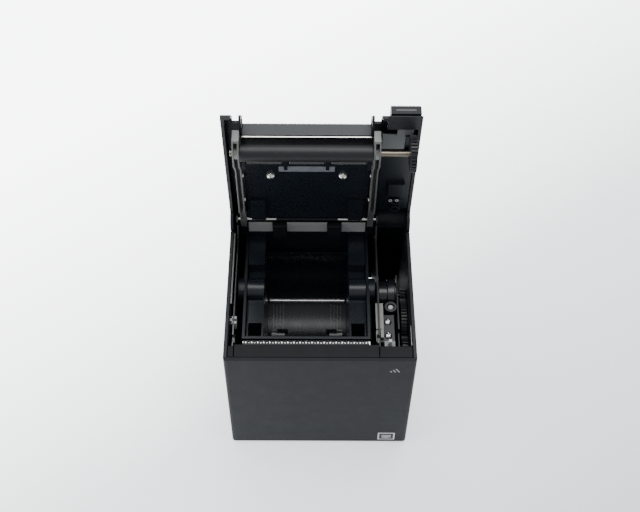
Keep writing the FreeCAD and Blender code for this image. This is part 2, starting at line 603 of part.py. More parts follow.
def gear_train():
    """Feed motor, its pinion and two gears that meet the gear of the platen when the cover shuts."""
    module_sum = "gear_module * (%s + %s) / 2 + mesh_gap"
    first = module_sum % ("platen_teeth", "output_teeth")
    second = module_sum % ("output_teeth", "idler_teeth")
    third = module_sum % ("idler_teeth", "pinion_teeth")
    out_y = "(%s + (%s) * sin(output_lean * 1deg))" % (PLATEN_Y, first)
    out_z = "(%s - (%s) * cos(output_lean * 1deg))" % (PLATEN_Z, first)
    mid_y = "(%s + (%s) * cos(idler_lean * 1deg))" % (out_y, second)
    mid_z = "(%s + (%s) * sin(idler_lean * 1deg))" % (out_z, second)
    pin_y = "(%s + (%s) * cos(pinion_lean * 1deg))" % (mid_y, third)
    pin_z = "(%s + (%s) * sin(pinion_lean * 1deg))" % (mid_z, third)
    turns = gear_turns()
    for label, teeth, y, z in (("output_gear", "output_teeth", out_y, out_z),
                               ("idler_gear", "idler_teeth", mid_y, mid_z)):
        base_node(label, gear(label, teeth, "arbor_radius + running_gap", "gear_x", y, z, turn=turns[label]))
    base_node("motor_pinion", gear("motor_pinion", "pinion_teeth", "1.05", "gear_x", pin_y, pin_z,
                                   turn=turns["motor_pinion"]))
    wall_x = "gear_x - 2.6"
    bridge = box("bridge_sheet", (wall_x, wall_x + " + sheet"), (PLATEN_Y, "%s + 14" % pin_y),
                 (DECK + " - 55.3", "%s + 5" % pin_z))
    motor_hole = rod("bridge_hole", "x", "3", (wall_x + " - 1", wall_x + " + 2"), pin_y, pin_z)
    shaft_room = box("bridge_slot", (wall_x + " - 1", wall_x + " + 2"),
                     (PLATEN_Y + " - 1", PLATEN_Y + " + 14"), (PLATEN_Z + " - 14.5", PLATEN_Z + " + 10"))
    arbors = []
    for i, (y, z) in enumerate(((out_y, out_z), (mid_y, mid_z))):
        arbors.append(rod("arbor%d" % i, "x", "arbor_radius", (wall_x, GEAR_RIGHT + " + 0.1"), y, z))
    sheet_part = cut("bridge_plate", bridge, [motor_hole, shaft_room])
    base_node("gear_bridge", fuse("gear_bridge", [sheet_part] + arbors))
    can_end = wall_x + " - 1.4"
    can = rod("motor_can", "x", "motor_radius", ("motor_left", can_end), pin_y, pin_z)
    collar = rod("motor_collar", "x", "motor_radius + motor_collar", ("motor_left + 6.2", can_end),
                 pin_y, pin_z)
    flange = rod("motor_flange", "x", "motor_radius - 1", (can_end, wall_x), pin_y, pin_z)
    shaft = rod("motor_shaft", "x", "1", (wall_x, GEAR_RIGHT), pin_y, pin_z)
    base_node("feed_motor", fuse("feed_motor", [can, collar, flange, shaft]))
    near = right_of("plate_reach + sheet + 0.2")
    span = (PLATEN_Y + " + 1.5", PLATEN_Y + " + 23.5")
    top = "(plate_top - 5.8)"
    bracket = box("bracket_web_side", (near, "gear_x - 5.4"), span, (top + " - 1.2", top))
    lip = box("bracket_lip", (near, near + " + 1.2"), span, (top + " - 14.2", top))
    heads = []
    for i, along in enumerate(("17.5", "6.5")):
        heads.append(rod("bracket_screw%d" % i, "z", "screw_head - 0.3", near + " + 5.6",
                         "%s + %s" % (PLATEN_Y, along), (top, top + " + 1.8")))
    base_node("bracket_screws", group("bracket_screws", heads))
    boss_x, boss_y = "gear_x - 7.4", PLATEN_Y + " + 30"
    boss = rod("boss_ring", "z", "4.2", boss_x, boss_y, (top + " - 10.2", top + " + 0.8"))
    hollow = rod("boss_hollow", "z", "2.6", boss_x, boss_y, (top + " - 4.2", top + " + 1.8"))
    holder = [fuse("motor_bracket_sheet", [bracket, lip]), cut("cable_boss", boss, [hollow])]
    base_node("motor_bracket", group("motor_bracket", holder))


def gear_turns():
    """Angles that put a tooth of one gear into a gap of the next along each line of centres."""
    line_out = 180 + value("output_lean")
    line_mid = value("idler_lean") - 90
    line_pin = value("pinion_lean") - 90
    turns = {"output_gear": match(0, line_out, "platen_teeth", "output_teeth")}
    turns["idler_gear"] = match(turns["output_gear"], line_mid, "output_teeth", "idler_teeth")
    turns["motor_pinion"] = match(turns["idler_gear"], line_pin, "idler_teeth", "pinion_teeth")
    return turns


def match(turn, line, teeth, next_teeth):
    """Turn of the next gear so that its gap faces the first gear's tooth; angles go from +Z to -Y."""
    ahead = (line - turn) / (360 / value(teeth))
    part = ahead - math.floor(ahead)
    # The pair rolls in opposite senses, so the share of a pitch is mirrored on the next gear.
    return line + 180 + (part - 0.5) * 360 / value(next_teeth)


def latch():
    """Two hooks on a cross rod that hold the platen shaft down, with a return spring on the rod."""
    outline = [("latch_y - 2.5", "latch_z"), ("latch_y - 1", "latch_z + 8"),
               ("latch_y + 3.5", "latch_z + 13"),
               (PLATEN_Y + " - 7", PLATEN_Z + " + 5.4"), (PLATEN_Y + " - 4.5", PLATEN_Z + " + 7"),
               (PLATEN_Y + " + 1.2", PLATEN_Z + " + 3.4"), (PLATEN_Y + " + 1.2", PLATEN_Z + " + 2.4"),
               (PLATEN_Y + " - 2.7", PLATEN_Z + " + 2.4"), (PLATEN_Y + " - 2.7", PLATEN_Z + " - 5"),
               ("latch_y + 2.5", "latch_z + 6"), ("latch_y + 2.5", "latch_z")]
    ends = (right_of("-plate_reach - sheet"), right_of("plate_reach + sheet"))
    pieces = [rod("latch_rod", "x", "latch_rod_radius", ends, "latch_y", "latch_z")]
    for i, low in enumerate((right_of("-hook_reach - hook_sheet"), right_of("hook_reach"))):
        hook = plate("hook%d" % i, "YZ_Plane", outline, low, low + " + hook_sheet")
        pieces.append(hook)
        pieces.append(rod("hook_eye%d" % i, "x", "3.2", (low, low + " + hook_sheet"), "latch_y", "latch_z"))
    base_node("latch_hooks", fuse("latch_hooks", pieces))
    return coil_spring("latch_spring", "x", 8, "1.1", right_of("30"), "latch_y", "latch_z")


def sensors():
    """Paper-end feeler on its block, and the plunger switch that the cover presses."""
    pivot_y, pivot_z = "(latch_y + 8)", "(latch_z + 2)"
    near = right_of("11.3")
    block = box("sensor_block", (near, near + " + 4"), (pivot_y + " - 2.5", pivot_y + " + 5"),
                (pivot_z + " - 5", pivot_z + " + 1.5"))
    pin = rod("sensor_pin", "x", "0.8", (near + " - 4.4", near + " + 0.5"), pivot_y, pivot_z)
    feeler_block = fuse("feeler_block", [block, pin])
    blade = plate("feeler_blade", "YZ_Plane",
                  [(pivot_y + " - 1.6", pivot_z + " - 1.6"), (pivot_y + " + 1.6", pivot_z + " - 1.6"),
                   (pivot_y + " + 4.2", pivot_z + " + 4.4"), (pivot_y + " + 3.6", pivot_z + " + 5.8"),
                   (pivot_y + " - 1.6", pivot_z + " + 1.6")], near + " - 4", near + " - 0.4")
    hole = rod("feeler_hole", "x", "0.8 + running_gap", (near + " - 5", near), pivot_y, pivot_z)
    base_node("paper_feeler", cut("paper_feeler", blade, [hole]))
    left, top = "(%s - 17)" % SIDE, DECK + " - 6.3"
    switch = box("switch_block", (left + " - 3.5", left + " + 3.5"), ("switch_y - 3", "switch_y + 3"),
                 (top + " - 9", top))
    well = box("switch_well", (left + " - 1.3", left + " + 1.3"), ("switch_y - 1.3", "switch_y + 1.3"),
               (top + " - 8", top + " + 1"))
    cover_block = cut("cover_switch", switch, [well])
    base_node("switch_blocks", group("switch_blocks", [feeler_block, cover_block]))
    base_node("switch_plunger", box("switch_plunger", (left + " - 1.1", left + " + 1.1"),
                                    ("switch_y - 1.1", "switch_y + 1.1"), (top + " - 4.5", top + " + 5.6")))


# ---------------------------------------------------------------- cover, drawn closed
def cover_shell():
    """Outer skin of the cover with the paper exit, the round hinge barrel and the button corner."""
    low = "(parting_height + parting_gap)"
    block = plate("cover_block", "YZ_Plane",
                  [(COVER_FRONT, low), (COVER_FRONT, "overall_height - slope_drop"),
                   (COVER_FRONT + " + slope_run", TOP), (HINGE_Y, TOP), (HINGE_Y, low)], "-" + SIDE, SIDE)
    barrel = rod("cover_barrel", "x", "hinge_setback", ("-" + SIDE, SIDE), HINGE_Y, HINGE_Z)
    inside = ("-(%s - cover_wall)" % SIDE, "%s - cover_wall" % SIDE)
    cavity = plate("cover_cavity", "YZ_Plane",
                   [(COVER_FRONT + " + cover_wall", "parting_height - 20"),
                    (COVER_FRONT + " + cover_wall", "overall_height - slope_drop - 1"),
                    (COVER_FRONT + " + slope_run + 0.8", "overall_height - cover_wall"),
                    (HINGE_Y, "overall_height - cover_wall"), (HINGE_Y, "parting_height - 20")],
                   inside[0], inside[1])
    bore = rod("cover_bore", "x", "hinge_setback - cover_wall", inside, HINGE_Y, HINGE_Z)
    below = box("cover_below", inside, (HINGE_Y + " - 30", REAR + " + 1"), ("parting_height - 20", low))
    hole = rod("cover_rod_hole", "x", "rod_radius + running_gap", ("-" + SIDE + " + 1", SIDE + " - 1"),
               HINGE_Y, HINGE_Z)
    tools = [cavity, bore, below, hole]
    tools.append(plate("cover_exit", "YZ_Plane",
                       [(FRONT + " - 1", "parting_height - 20"), (reach("exit_reach"), "parting_height - 20"),
                        (reach("exit_reach"), TOP + " - exit_round"),
                        (reach("exit_reach - exit_round"), TOP),
                        (reach("exit_reach - exit_round"), TOP + " + 1"),
                        (FRONT + " - 1", TOP + " + 1")], right_of("-exit_half"), right_of("exit_half")))
    for i, side in enumerate((-1, 1)):
        near = "%d * (exit_half + horn_width)" % side
        far = "%d * (exit_half + horn_width + notch_width)" % side
        low_x, high_x = (far, near) if side < 0 else (near, far)
        tools.append(box("cover_notch%d" % i, (right_of(low_x), right_of(high_x)),
                         (FRONT + " - 1", reach("notch_reach")), ("parting_height - 20", TOP + " + 1")))
    tools.append(box("cover_button_room", ("button_left - key_gap", SIDE + " + 1"),
                     (FRONT + " - 1", reach("button_reach_in - key_gap")), (low + " + 0.8", TOP + " + 1")))
    for name in ("feed_key", "power_key"):
        tools.append(rod(name + "_hole", "z", "key_radius + key_gap", "key_x", reach(name + "_reach"),
                         (TOP + " - cover_wall - 1", TOP + " + 1")))
    tools.append(box("lens_hole", ("key_x - lens_half", "key_x + lens_half"),
                     (reach("power_key_reach - 11.9"), reach("power_key_reach - 14.1")),
                     (TOP + " - cover_wall - 1", TOP + " + 1")))
    shell = cut("cover_skin", fuse("cover_solid", [block, barrel]), tools)
    floor = box("cover_corner_floor", ("button_left - key_gap - 1.4", SIDE),
                (FRONT, reach("button_reach_in")), (low, low + " + 0.8"))
    wall = box("cover_corner_wall", ("button_left - key_gap - 1.4", "button_left - key_gap"),
               (COVER_FRONT, reach("button_reach_in")), (low, "overall_height - slope_drop"))
    horns = []
    for i, side in enumerate((-1, 1)):
        pair = ("%d * (exit_half + horn_width)" % side, "%d * exit_half" % side)
        pair = pair if side < 0 else pair[::-1]
        horns.append(box("cover_horn%d" % i, (right_of(pair[0]), right_of(pair[1])),
                         (COVER_FRONT, reach("exit_reach - 2")), (low, "overall_height - slope_drop")))
    cover_node("cover_shell", [fuse("cover_whole", [shell, floor, wall] + horns)])
    band = box("exit_band_wall", (right_of("-exit_half"), right_of("exit_half")),
               (reach("exit_reach"), reach("exit_reach - band_thickness")), (low, TOP + " - cover_wall"))
    cover_node("exit_band", [band])
    lens = box("status_lens_bar", ("key_x - lens_half", "key_x + lens_half"),
               (reach("power_key_reach - 11.9"), reach("power_key_reach - 14.1")),
               (TOP + " - cover_wall", TOP + " - 0.1"))
    cover_node("status_lens", [lens])


def cover_arms():
    """Folded steel arms that carry the platen, and their rivets."""
    outline = [(reach("arm_tip"), rise("-2.4")), (reach("5"), rise("-2.4")), (reach("4"), rise("3.6")),
               (reach("-4"), rise("3.6")), (reach("-4"), rise("-4")), (reach("14"), rise("-4")),
               (reach("20"), rise("-9")), (reach("platen_reach - 23"), rise("-9")),
               (reach("platen_reach - 9"), rise("-arm_drop")), (reach("arm_tip - 5"), rise("-arm_drop")),
               (reach("arm_tip"), rise("5.5 - arm_drop"))]
    rivets = []
    for label, side in (("cover_arm_left", -1), ("cover_arm_right", 1)):
        near, far = "%d * arm_inner" % side, "%d * (arm_inner + arm_width)" % side
        low, high = (right_of(far), right_of(near)) if side < 0 else (right_of(near), right_of(far))
        solid = plate(label + "_sheet", "YZ_Plane", outline, low, high)
        hollow = box(label + "_fold", (low + " + sheet", high + " - sheet"),
                     (reach("arm_tip - 1"), reach("5")), (rise("-20"), rise("-3.4")))
        hinge = rod(label + "_hinge_hole", "x", "rod_radius + running_gap", (low + " - 1", high + " + 1"),
                    HINGE_Y, HINGE_Z)
        seat = rod(label + "_seat", "x", "bearing_radius", (low + " - 1", high + " + 1"), PLATEN_Y, PLATEN_Z)
        cover_node(label, [cut(label + "_solid", solid, [hollow, hinge, seat])])
        for i, along in enumerate(("platen_reach - 31", "platen_reach - 59")):
            inner = right_of("%d * arm_inner" % side)
            span = (inner, inner + " + 0.9") if side < 0 else (inner + " - 0.9", inner)
            rivets.append(rod("%s_rivet%d" % (label, i), "x", "1.7", span, reach(along), rise("-6.6")))
    return rivets


def cover_liner():
    """Inner panel over the roll with its guide roller brackets, label and two screws."""
    low, high = right_of("-arm_inner + 1.2"), right_of("arm_inner - 1.2")
    sheet_part = box("liner_sheet", (low, high), (reach("cover_panel_far"), reach("cover_panel_near")),
                     (rise("-cover_panel_drop"), rise("-cover_panel_drop + 2")))
    pieces = [sheet_part]
    for i, side in enumerate((-1, 1)):
        near, far = "%d * (arm_inner - 14)" % side, "%d * (arm_inner - 4)" % side
        spread = (right_of(far), right_of(near)) if side < 0 else (right_of(near), right_of(far))
        pieces.append(box("liner_step%d" % i, spread, (reach("32"), reach("cover_panel_near")),
                          (rise("-cover_panel_drop - 2.4"), rise("-cover_panel_drop"))))
        post = right_of("%d * (arm_inner - 8)" % side)
        pieces.append(box("liner_post%d" % i, (post + " - 3", post + " + 3"),
                          (reach("cover_panel_far - 8"), reach("cover_panel_far - 14")),
                          (rise("-cover_panel_drop"), TOP + " - cover_wall")))
    for i in range(4):
        x = "mechanism_offset + (%s) * (guide_pitch)" % (i - 1.5)
        pieces.append(box("liner_cheek%d" % i, (x + " - guide_cheek / 2", x + " + guide_cheek / 2"),
                          (reach("guide_reach + 2.6"), reach("cover_panel_far - 1")),
                          (rise("-guide_drop - 1.6"), rise("-cover_panel_drop + 2"))))
    axle_hole = rod("liner_axle_hole", "x", "axle_radius + running_gap", (low + " - 1", high + " + 1"),
                    reach("guide_reach"), rise("-guide_drop"))
    cover_node("cover_liner", [cut("liner_body", fuse("liner_blank", pieces), [axle_hole])])
    label = box("label_sheet", (right_of("-18.5"), right_of("18.5")),
                (reach("cover_panel_far - 5.5"), reach("cover_panel_far - 11")),
                (rise("-cover_panel_drop - 0.5"), rise("-cover_panel_drop")))
    cover_node("blank_label", [label])
    screws = []
    for i, x in enumerate(("-24", "24")):
        head = rod("liner_screw_head%d" % i, "z", "screw_head", right_of(x), reach("cover_panel_far - 16"),
                   (rise("-cover_panel_drop - 1.7"), rise("-cover_panel_drop")))
        recess = rod("liner_screw_recess%d" % i, "z", "1", right_of(x), reach("cover_panel_far - 16"),
                     (rise("-cover_panel_drop - 2"), rise("-cover_panel_drop - 0.8")))
        screws.append(cut("liner_screw%d" % i, head, [recess]))
    cover_node("liner_screws", screws)
    wing = box("side_liner_sheet",
               (right_of("arm_inner + arm_width + 1.4"), SIDE + " - cover_wall - inner_gap"),
               (reach("guide_reach - 1"), reach("13")), (rise("0.2"), rise("1.4")))
    pod = box("side_liner_pod", (SIDE + " - 17.5", SIDE + " - 6.5"), (reach("46"), reach("32")),
              (rise("-3"), rise("0.2")))
    rings = []
    for i, along in enumerate(("25", "16")):
        ring = rod("side_ring%d" % i, "z", "3.6", SIDE + " - 11.5", reach(along), (rise("-2.4"), rise("0.2")))
        eye = rod("side_ring_eye%d" % i, "z", "1.9", SIDE + " - 11.5", reach(along),
                  (rise("-3"), rise("0.4")))
        rings.append(cut("side_ring_cut%d" % i, ring, [eye]))
    cover_node("side_liner", [fuse("side_liner_body", [wing, pod] + rings)])
    board = box("control_board_sheet", (SIDE + " - 20.5", SIDE + " - 3.5"),
                (reach("platen_reach - 1"), reach("power_key_reach - 18")), (rise("2.6"), rise("4")))
    cover_node("control_board", [board])


def cover_blade():
    """Fixed knife at the paper exit and the bar that carries it."""
    low, high = right_of("-platen_half + 0.2"), right_of("platen_half - 0.2")
    knife_top = rise("-blade_drop + blade_thickness")
    knife = box("fixed_knife", (low, high), (reach("exit_reach"), reach("exit_reach - blade_depth")),
                (rise("-blade_drop"), knife_top))
    cover_node("fixed_blade", [knife])
    bar = box("knife_bar", (low, high), (reach("exit_reach - 3.2"), reach("exit_reach - blade_depth - 1")),
              (knife_top, rise("0")))
    cover_node("blade_bar", [bar])


def platen():
    """Rubber roller on its steel shaft with the end gear and the two bearings in the arms."""
    half = "platen_half"
    rubber = rod("platen_tube", "x", "platen_radius", (right_of("-" + half), right_of(half)),
                 PLATEN_Y, PLATEN_Z)
    core = rod("platen_core", "x", "shaft_radius", (right_of("-%s - 1" % half), right_of(half + " + 1")),
               PLATEN_Y, PLATEN_Z)
    cover_node("platen_rubber", [cut("platen_sleeve", rubber, [core])])
    shaft = rod("platen_bar", "x", "shaft_radius", (right_of("-hook_reach - hook_sheet - 0.2"), GEAR_RIGHT),
                PLATEN_Y, PLATEN_Z)
    cover_node("platen_shaft", [shaft])
    wheel = gear("platen_wheel", "platen_teeth", "shaft_radius", "gear_x", PLATEN_Y, PLATEN_Z)
    cover_node("platen_gear", [wheel])
    rings = []
    for i, side in enumerate((-1, 1)):
        near, far = "%d * (arm_inner - 0.3)" % side, "%d * (arm_inner + arm_width - 0.2)" % side
        low, high = (right_of(far), right_of(near)) if side < 0 else (right_of(near), right_of(far))
        ring = rod("bearing_ring%d" % i, "x", "bearing_radius", (low, high), PLATEN_Y, PLATEN_Z)
        bore = rod("bearing_bore%d" % i, "x", "shaft_radius + running_gap", (low + " - 1", high + " + 1"),
                   PLATEN_Y, PLATEN_Z)
        rings.append(cut("bearing%d" % i, ring, [bore]))
    cover_node("platen_bearings", rings)


def guide_rollers():
    """Three loose rollers on one axle behind the platen."""
    end = "guide_pitch * 1.5 + guide_cheek / 2"
    axle = rod("guide_axle_bar", "x", "axle_radius", (right_of("-(%s)" % end), right_of(end)),
               reach("guide_reach"), rise("-guide_drop"))
    rollers = []
    for i in range(3):
        x = "mechanism_offset + (%d) * guide_pitch" % (i - 1)
        low, high = x + " - guide_length / 2", x + " + guide_length / 2"
        tube = rod("roller_tube%d" % i, "x", "guide_radius", (low, high), reach("guide_reach"),
                   rise("-guide_drop"))
        bore = rod("roller_bore%d" % i, "x", "axle_radius + running_gap", (low + " - 1", high + " + 1"),
                   reach("guide_reach"), rise("-guide_drop"))
        rollers.append(cut("roller%d" % i, tube, [bore]))
    cover_node("guide_rollers", rollers)
    return axle


def cover_buttons():
    """Release button with its slider, and the feed and power keys."""
    low = "(parting_height + parting_gap + 0.8 + button_travel + key_gap)"
    cap = plate("button_cap", "YZ_Plane",
                [(FRONT, low), (FRONT, "overall_height - button_slope"), (FRONT + " + button_slope", TOP),
                 (reach("button_reach_in"), TOP), (reach("button_reach_in"), low)],
                "button_left", "button_right")
    hollow = box("button_hollow", ("button_left + 1.6", "button_right - 1.6"),
                 (FRONT + " + 1.6", reach("button_reach_in + 1")), (low + " - 1", TOP + " - 3"))
    cover_node("release_button", [cut("button_shape", cap, [hollow])])
    front_leaf = box("slider_front", (SIDE + " - 15", SIDE + " - 4.5"),
                     (reach("button_reach_in"), reach("button_reach_in - 8.2")), (rise("0.8"), rise("2")))
    rear_leaf = box("slider_rear", (right_of("arm_inner + arm_width + 1.6"), SIDE + " - 9.5"),
                    (reach("button_reach_in - 8.2"), reach("button_reach_in - 23")), (rise("0.8"), rise("2")))
    cover_node("release_slider", [fuse("slider_body", [front_leaf, rear_leaf])])
    foot_low = TOP + " - cover_wall - 2 * key_travel - 0.8"
    for label in ("feed_key", "power_key"):
        y = reach(label + "_reach")
        post = rod(label + "_post", "z", "key_radius", "key_x", y, (foot_low, TOP + " - 0.1"))
        foot = rod(label + "_foot", "z", "key_radius + key_flange", "key_x", y,
                   (foot_low, TOP + " - cover_wall - 0.2"))
        cover_node(label, [fuse(label + "_cap", [post, foot])])


case_shell()
bottom_tray()
front_panel()
front_trim()
shoulders()
sockets()
side_plates()
hinge_line()
roll_tray()
width_insert()
springs = print_head()
cutter()
gear_train()
springs.append(latch())
base_node("springs", group("springs", springs))
sensors()
cover_shell()
pins = cover_arms()
cover_liner()
cover_blade()
platen()
pins.append(guide_rollers())
cover_node("cover_pins", pins)
cover_buttons()
doc.recompute()

for thing in doc.Objects:
    if "Invalid" in thing.State or "Error" in thing.State:
        raise SystemExit("not built: " + thing.Label)
os.makedirs("parts", exist_ok=True)
for thing in NODES:
    shape = thing.Shape
    if shape.isNull() or not shape.isValid() or not shape.Solids:
        raise SystemExit("bad shape: " + thing.Label)
for thing in NODES:
    thing.Shape.exportStep("parts/%s.step" % thing.Label)
print(len(NODES), "sub-parts")
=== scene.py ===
import json
import math

import bmesh
import bpy
from bpy.props import FloatProperty, FloatVectorProperty, PointerProperty
from mathutils import Matrix, Vector


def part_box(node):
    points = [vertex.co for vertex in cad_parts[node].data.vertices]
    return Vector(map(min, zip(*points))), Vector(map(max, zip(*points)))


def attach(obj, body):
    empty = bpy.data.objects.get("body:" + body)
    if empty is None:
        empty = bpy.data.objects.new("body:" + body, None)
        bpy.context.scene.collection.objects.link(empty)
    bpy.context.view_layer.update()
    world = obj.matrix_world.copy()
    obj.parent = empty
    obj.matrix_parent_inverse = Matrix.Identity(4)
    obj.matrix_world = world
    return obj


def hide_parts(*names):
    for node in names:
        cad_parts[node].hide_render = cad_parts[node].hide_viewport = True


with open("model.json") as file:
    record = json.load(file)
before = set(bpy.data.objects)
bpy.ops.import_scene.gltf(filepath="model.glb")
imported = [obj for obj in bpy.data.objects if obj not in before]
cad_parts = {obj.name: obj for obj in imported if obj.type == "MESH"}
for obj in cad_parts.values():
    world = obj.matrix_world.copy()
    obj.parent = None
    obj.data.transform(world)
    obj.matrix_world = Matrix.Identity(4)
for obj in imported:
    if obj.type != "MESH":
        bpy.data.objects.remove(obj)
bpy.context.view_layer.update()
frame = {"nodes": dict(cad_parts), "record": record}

bl_info = {
    "name": "Receipt Printer Dresser",
    "version": (1, 0, 0),
    "blender": (4, 5, 0),
    "location": "View3D > Sidebar > Printer",
    "description": "Finishes and fine pieces for a receipt printer with its roll cover open",
    "category": "Object",
}

MM = 0.001
# Places that several operators share, in millimetres
BOWL_CENTRE = (11.0, 64.0)
BOWL_RADIUS = 43.0


# ------------------------------------------------------------------ shader writing
class Signal:
    """A node socket that can be used in Python expressions."""

    def __init__(self, finish, socket):
        self.finish = finish
        self.socket = socket

    def _math(self, operation, other, swapped=False):
        pair = (other, self) if swapped else (self, other)
        return self.finish.node("ShaderNodeMath", {"operation": operation}, {0: pair[0], 1: pair[1]})

    def __add__(self, other):
        return self._math("ADD", other)

    def __sub__(self, other):
        return self._math("SUBTRACT", other)

    def __rsub__(self, other):
        return self._math("SUBTRACT", other, True)

    def __mul__(self, other):
        return self._math("MULTIPLY", other)

    __radd__ = __add__
    __rmul__ = __mul__


class Finish:
    """A material under construction round one Principled shader."""

    def __init__(self, name, **constants):
        self.material = bpy.data.materials.new(name)
        self.material.use_nodes = True
        self.tree = self.material.node_tree
        self.shader = self.tree.nodes["Principled BSDF"]
        for key, setting in constants.items():
            self.shader.inputs[key.replace("_", " ").title().replace("Ior", "IOR")].default_value = setting
        self.place = self.node("ShaderNodeTexCoord", output="Object")

    def node(self, kind, settings=None, inputs=None, output=0):
        made = self.tree.nodes.new(kind)
        for key, setting in (settings or {}).items():
            if key == "stops":
                ramp = made.color_ramp
                while len(ramp.elements) < len(setting):
                    ramp.elements.new(0.5)
                for element, (position, shade) in zip(ramp.elements, setting):
                    element.position = position
                    element.color = (*shade, 1) if hasattr(shade, "__len__") else (shade, shade, shade, 1)
            else:
                setattr(made, key, setting)
        for key, feed in (inputs or {}).items():
            socket = made.inputs[key]
            if isinstance(feed, Signal):
                self.tree.links.new(feed.socket, socket)
            else:
                socket.default_value = feed
        return Signal(self, made.outputs[output])

    def noise(self, scale, detail=2, roughness=0.5, stretch=(1, 1, 1)):
        spot = self.node("ShaderNodeMapping", {}, {"Vector": self.place, "Scale": stretch})
        return self.node("ShaderNodeTexNoise", {}, {"Vector": spot, "Scale": scale, "Detail": detail,
                                                    "Roughness": roughness})

    def ramp(self, signal, *stops):
        return self.node("ShaderNodeValToRGB", {"stops": stops}, {"Fac": signal})

    def mix(self, factor, first, second):
        return self.node("ShaderNodeMix", {"data_type": "RGBA"}, {0: factor, 6: first, 7: second}, output=2)

    def bump(self, height, distance):
        return self.node("ShaderNodeBump", {}, {"Height": height, "Distance": distance, "Strength": 1.0})

    def feed(self, name, signal):
        self.tree.links.new(signal.socket, self.shader.inputs[name])


def shade(colour, factor=1.0):
    """A colour with its alpha, made lighter or darker."""
    return (colour[0] * factor, colour[1] * factor, colour[2] * factor, 1)


# ------------------------------------------------------------------ finishes
def moulded(name, colour, roughness=0.5, grain=0.00003, grain_scale=1900, drift=0.12, **extra):
    """Injection-moulded plastic: spark-eroded grain, faint clouding and slightly uneven gloss."""
    finish = Finish(name, ior=1.48, **extra)
    clouds = finish.noise(38, 3, 0.6)
    tint = finish.mix(clouds, shade(colour, 1 - drift), shade(colour, 1 + drift))
    finish.feed("Base Color", tint)
    skin = finish.noise(grain_scale, 2, 0.55)
    smears = finish.noise(90, 4, 0.7, (1, 0.35, 1))
    finish.feed("Roughness", (skin - 0.5) * 0.07 + (smears - 0.5) * 0.14 + roughness)
    finish.feed("Normal", finish.bump(skin, grain))
    return finish.material


def plated_steel(name, colour=(0.50, 0.52, 0.54), roughness=0.3, streaks=(1, 1, 12), metallic=1.0):
    """Zinc-plated sheet: rolling streaks, cloudy passivation and fine scuffs."""
    finish = Finish(name, metallic=metallic)
    clouds = finish.noise(110, 3, 0.6)
    roll = finish.noise(700, 2, 0.6, streaks)
    warm = (colour[0] * 1.1, colour[1] * 1.06, colour[2] * 0.94)
    finish.feed("Base Color", finish.mix(clouds, shade(colour, 0.72), shade(warm)))
    finish.feed("Roughness", (roll - 0.5) * 0.22 + (clouds - 0.5) * 0.12 + roughness)
    finish.feed("Normal", finish.bump(roll, 0.000012))
    return finish.material


def ground_steel(name, roughness=0.2):
    """Bright turned or ground steel, with fine marks round the axis along X."""
    finish = Finish(name, metallic=1.0)
    rings = finish.noise(900, 2, 0.5, (8, 0.4, 0.4))
    finish.feed("Base Color", finish.mix(rings, (0.56, 0.55, 0.53, 1), (0.74, 0.73, 0.70, 1)))
    finish.feed("Roughness", (rings - 0.5) * 0.16 + roughness)
    finish.feed("Normal", finish.bump(rings, 0.000008))
    return finish.material


def ground_rubber(name, colour=(0.009, 0.010, 0.011)):
    """Ground platen rubber: satin, with faint grinding lines and paper dust."""
    finish = Finish(name, ior=1.5, specular_ior_level=0.32)
    lines = finish.noise(1500, 2, 0.5, (6, 0.4, 0.4))
    dust = finish.ramp(finish.noise(420, 4, 0.75), (0.58, 0.0), (0.78, 1.0))
    finish.feed("Base Color", finish.mix(dust, shade(colour), (0.024, 0.024, 0.024, 1)))
    finish.feed("Roughness", (lines - 0.5) * 0.12 + 0.42)
    finish.feed("Normal", finish.bump(lines, 0.000014))
    return finish.material


def soft_rubber(name, colour=(0.018, 0.018, 0.018)):
    """Matt moulded rubber with a rough skin."""
    finish = Finish(name, ior=1.45)
    skin = finish.noise(1200, 3, 0.7)
    finish.feed("Base Color", finish.mix(skin, shade(colour, 0.7), shade(colour, 1.5)))
    finish.feed("Roughness", (skin - 0.5) * 0.2 + 0.78)
    finish.feed("Normal", finish.bump(skin, 0.00005))
    return finish.material


def circuit_board(name):
    """Green solder mask with copper runs showing through as lighter lines."""
    finish = Finish(name, ior=1.5)
    runs = finish.node("ShaderNodeTexVoronoi", {"feature": "DISTANCE_TO_EDGE"},
                       {"Vector": finish.place, "Scale": 420.0})
    lines = finish.ramp(runs, (0.02, 1.0), (0.06, 0.0))
    finish.feed("Base Color", finish.mix(lines, (0.012, 0.060, 0.030, 1), (0.030, 0.150, 0.070, 1)))
    finish.feed("Roughness", lines * 0.15 + 0.3)
    finish.feed("Normal", finish.bump(lines, 0.00004))
    return finish.material


def fired_ceramic(name):
    """Glazed off-white ceramic."""
    finish = Finish(name, ior=1.6)
    glaze = finish.noise(800, 2)
    finish.feed("Base Color", finish.mix(glaze, (0.52, 0.49, 0.44, 1), (0.60, 0.57, 0.52, 1)))
    finish.feed("Roughness", glaze * 0.08 + 0.16)
    return finish.material


def printed_label(name, colour=(0.30, 0.31, 0.33)):
    """Silvery blank label stock with a slight crinkle."""
    finish = Finish(name, metallic=0.35)
    crinkle = finish.noise(260, 4, 0.65)
    finish.feed("Base Color", finish.mix(crinkle, shade(colour, 0.8), shade(colour, 1.3)))
    finish.feed("Roughness", crinkle * 0.25 + 0.25)
    finish.feed("Normal", finish.bump(crinkle, 0.0001))
    return finish.material


FINISHES = {}


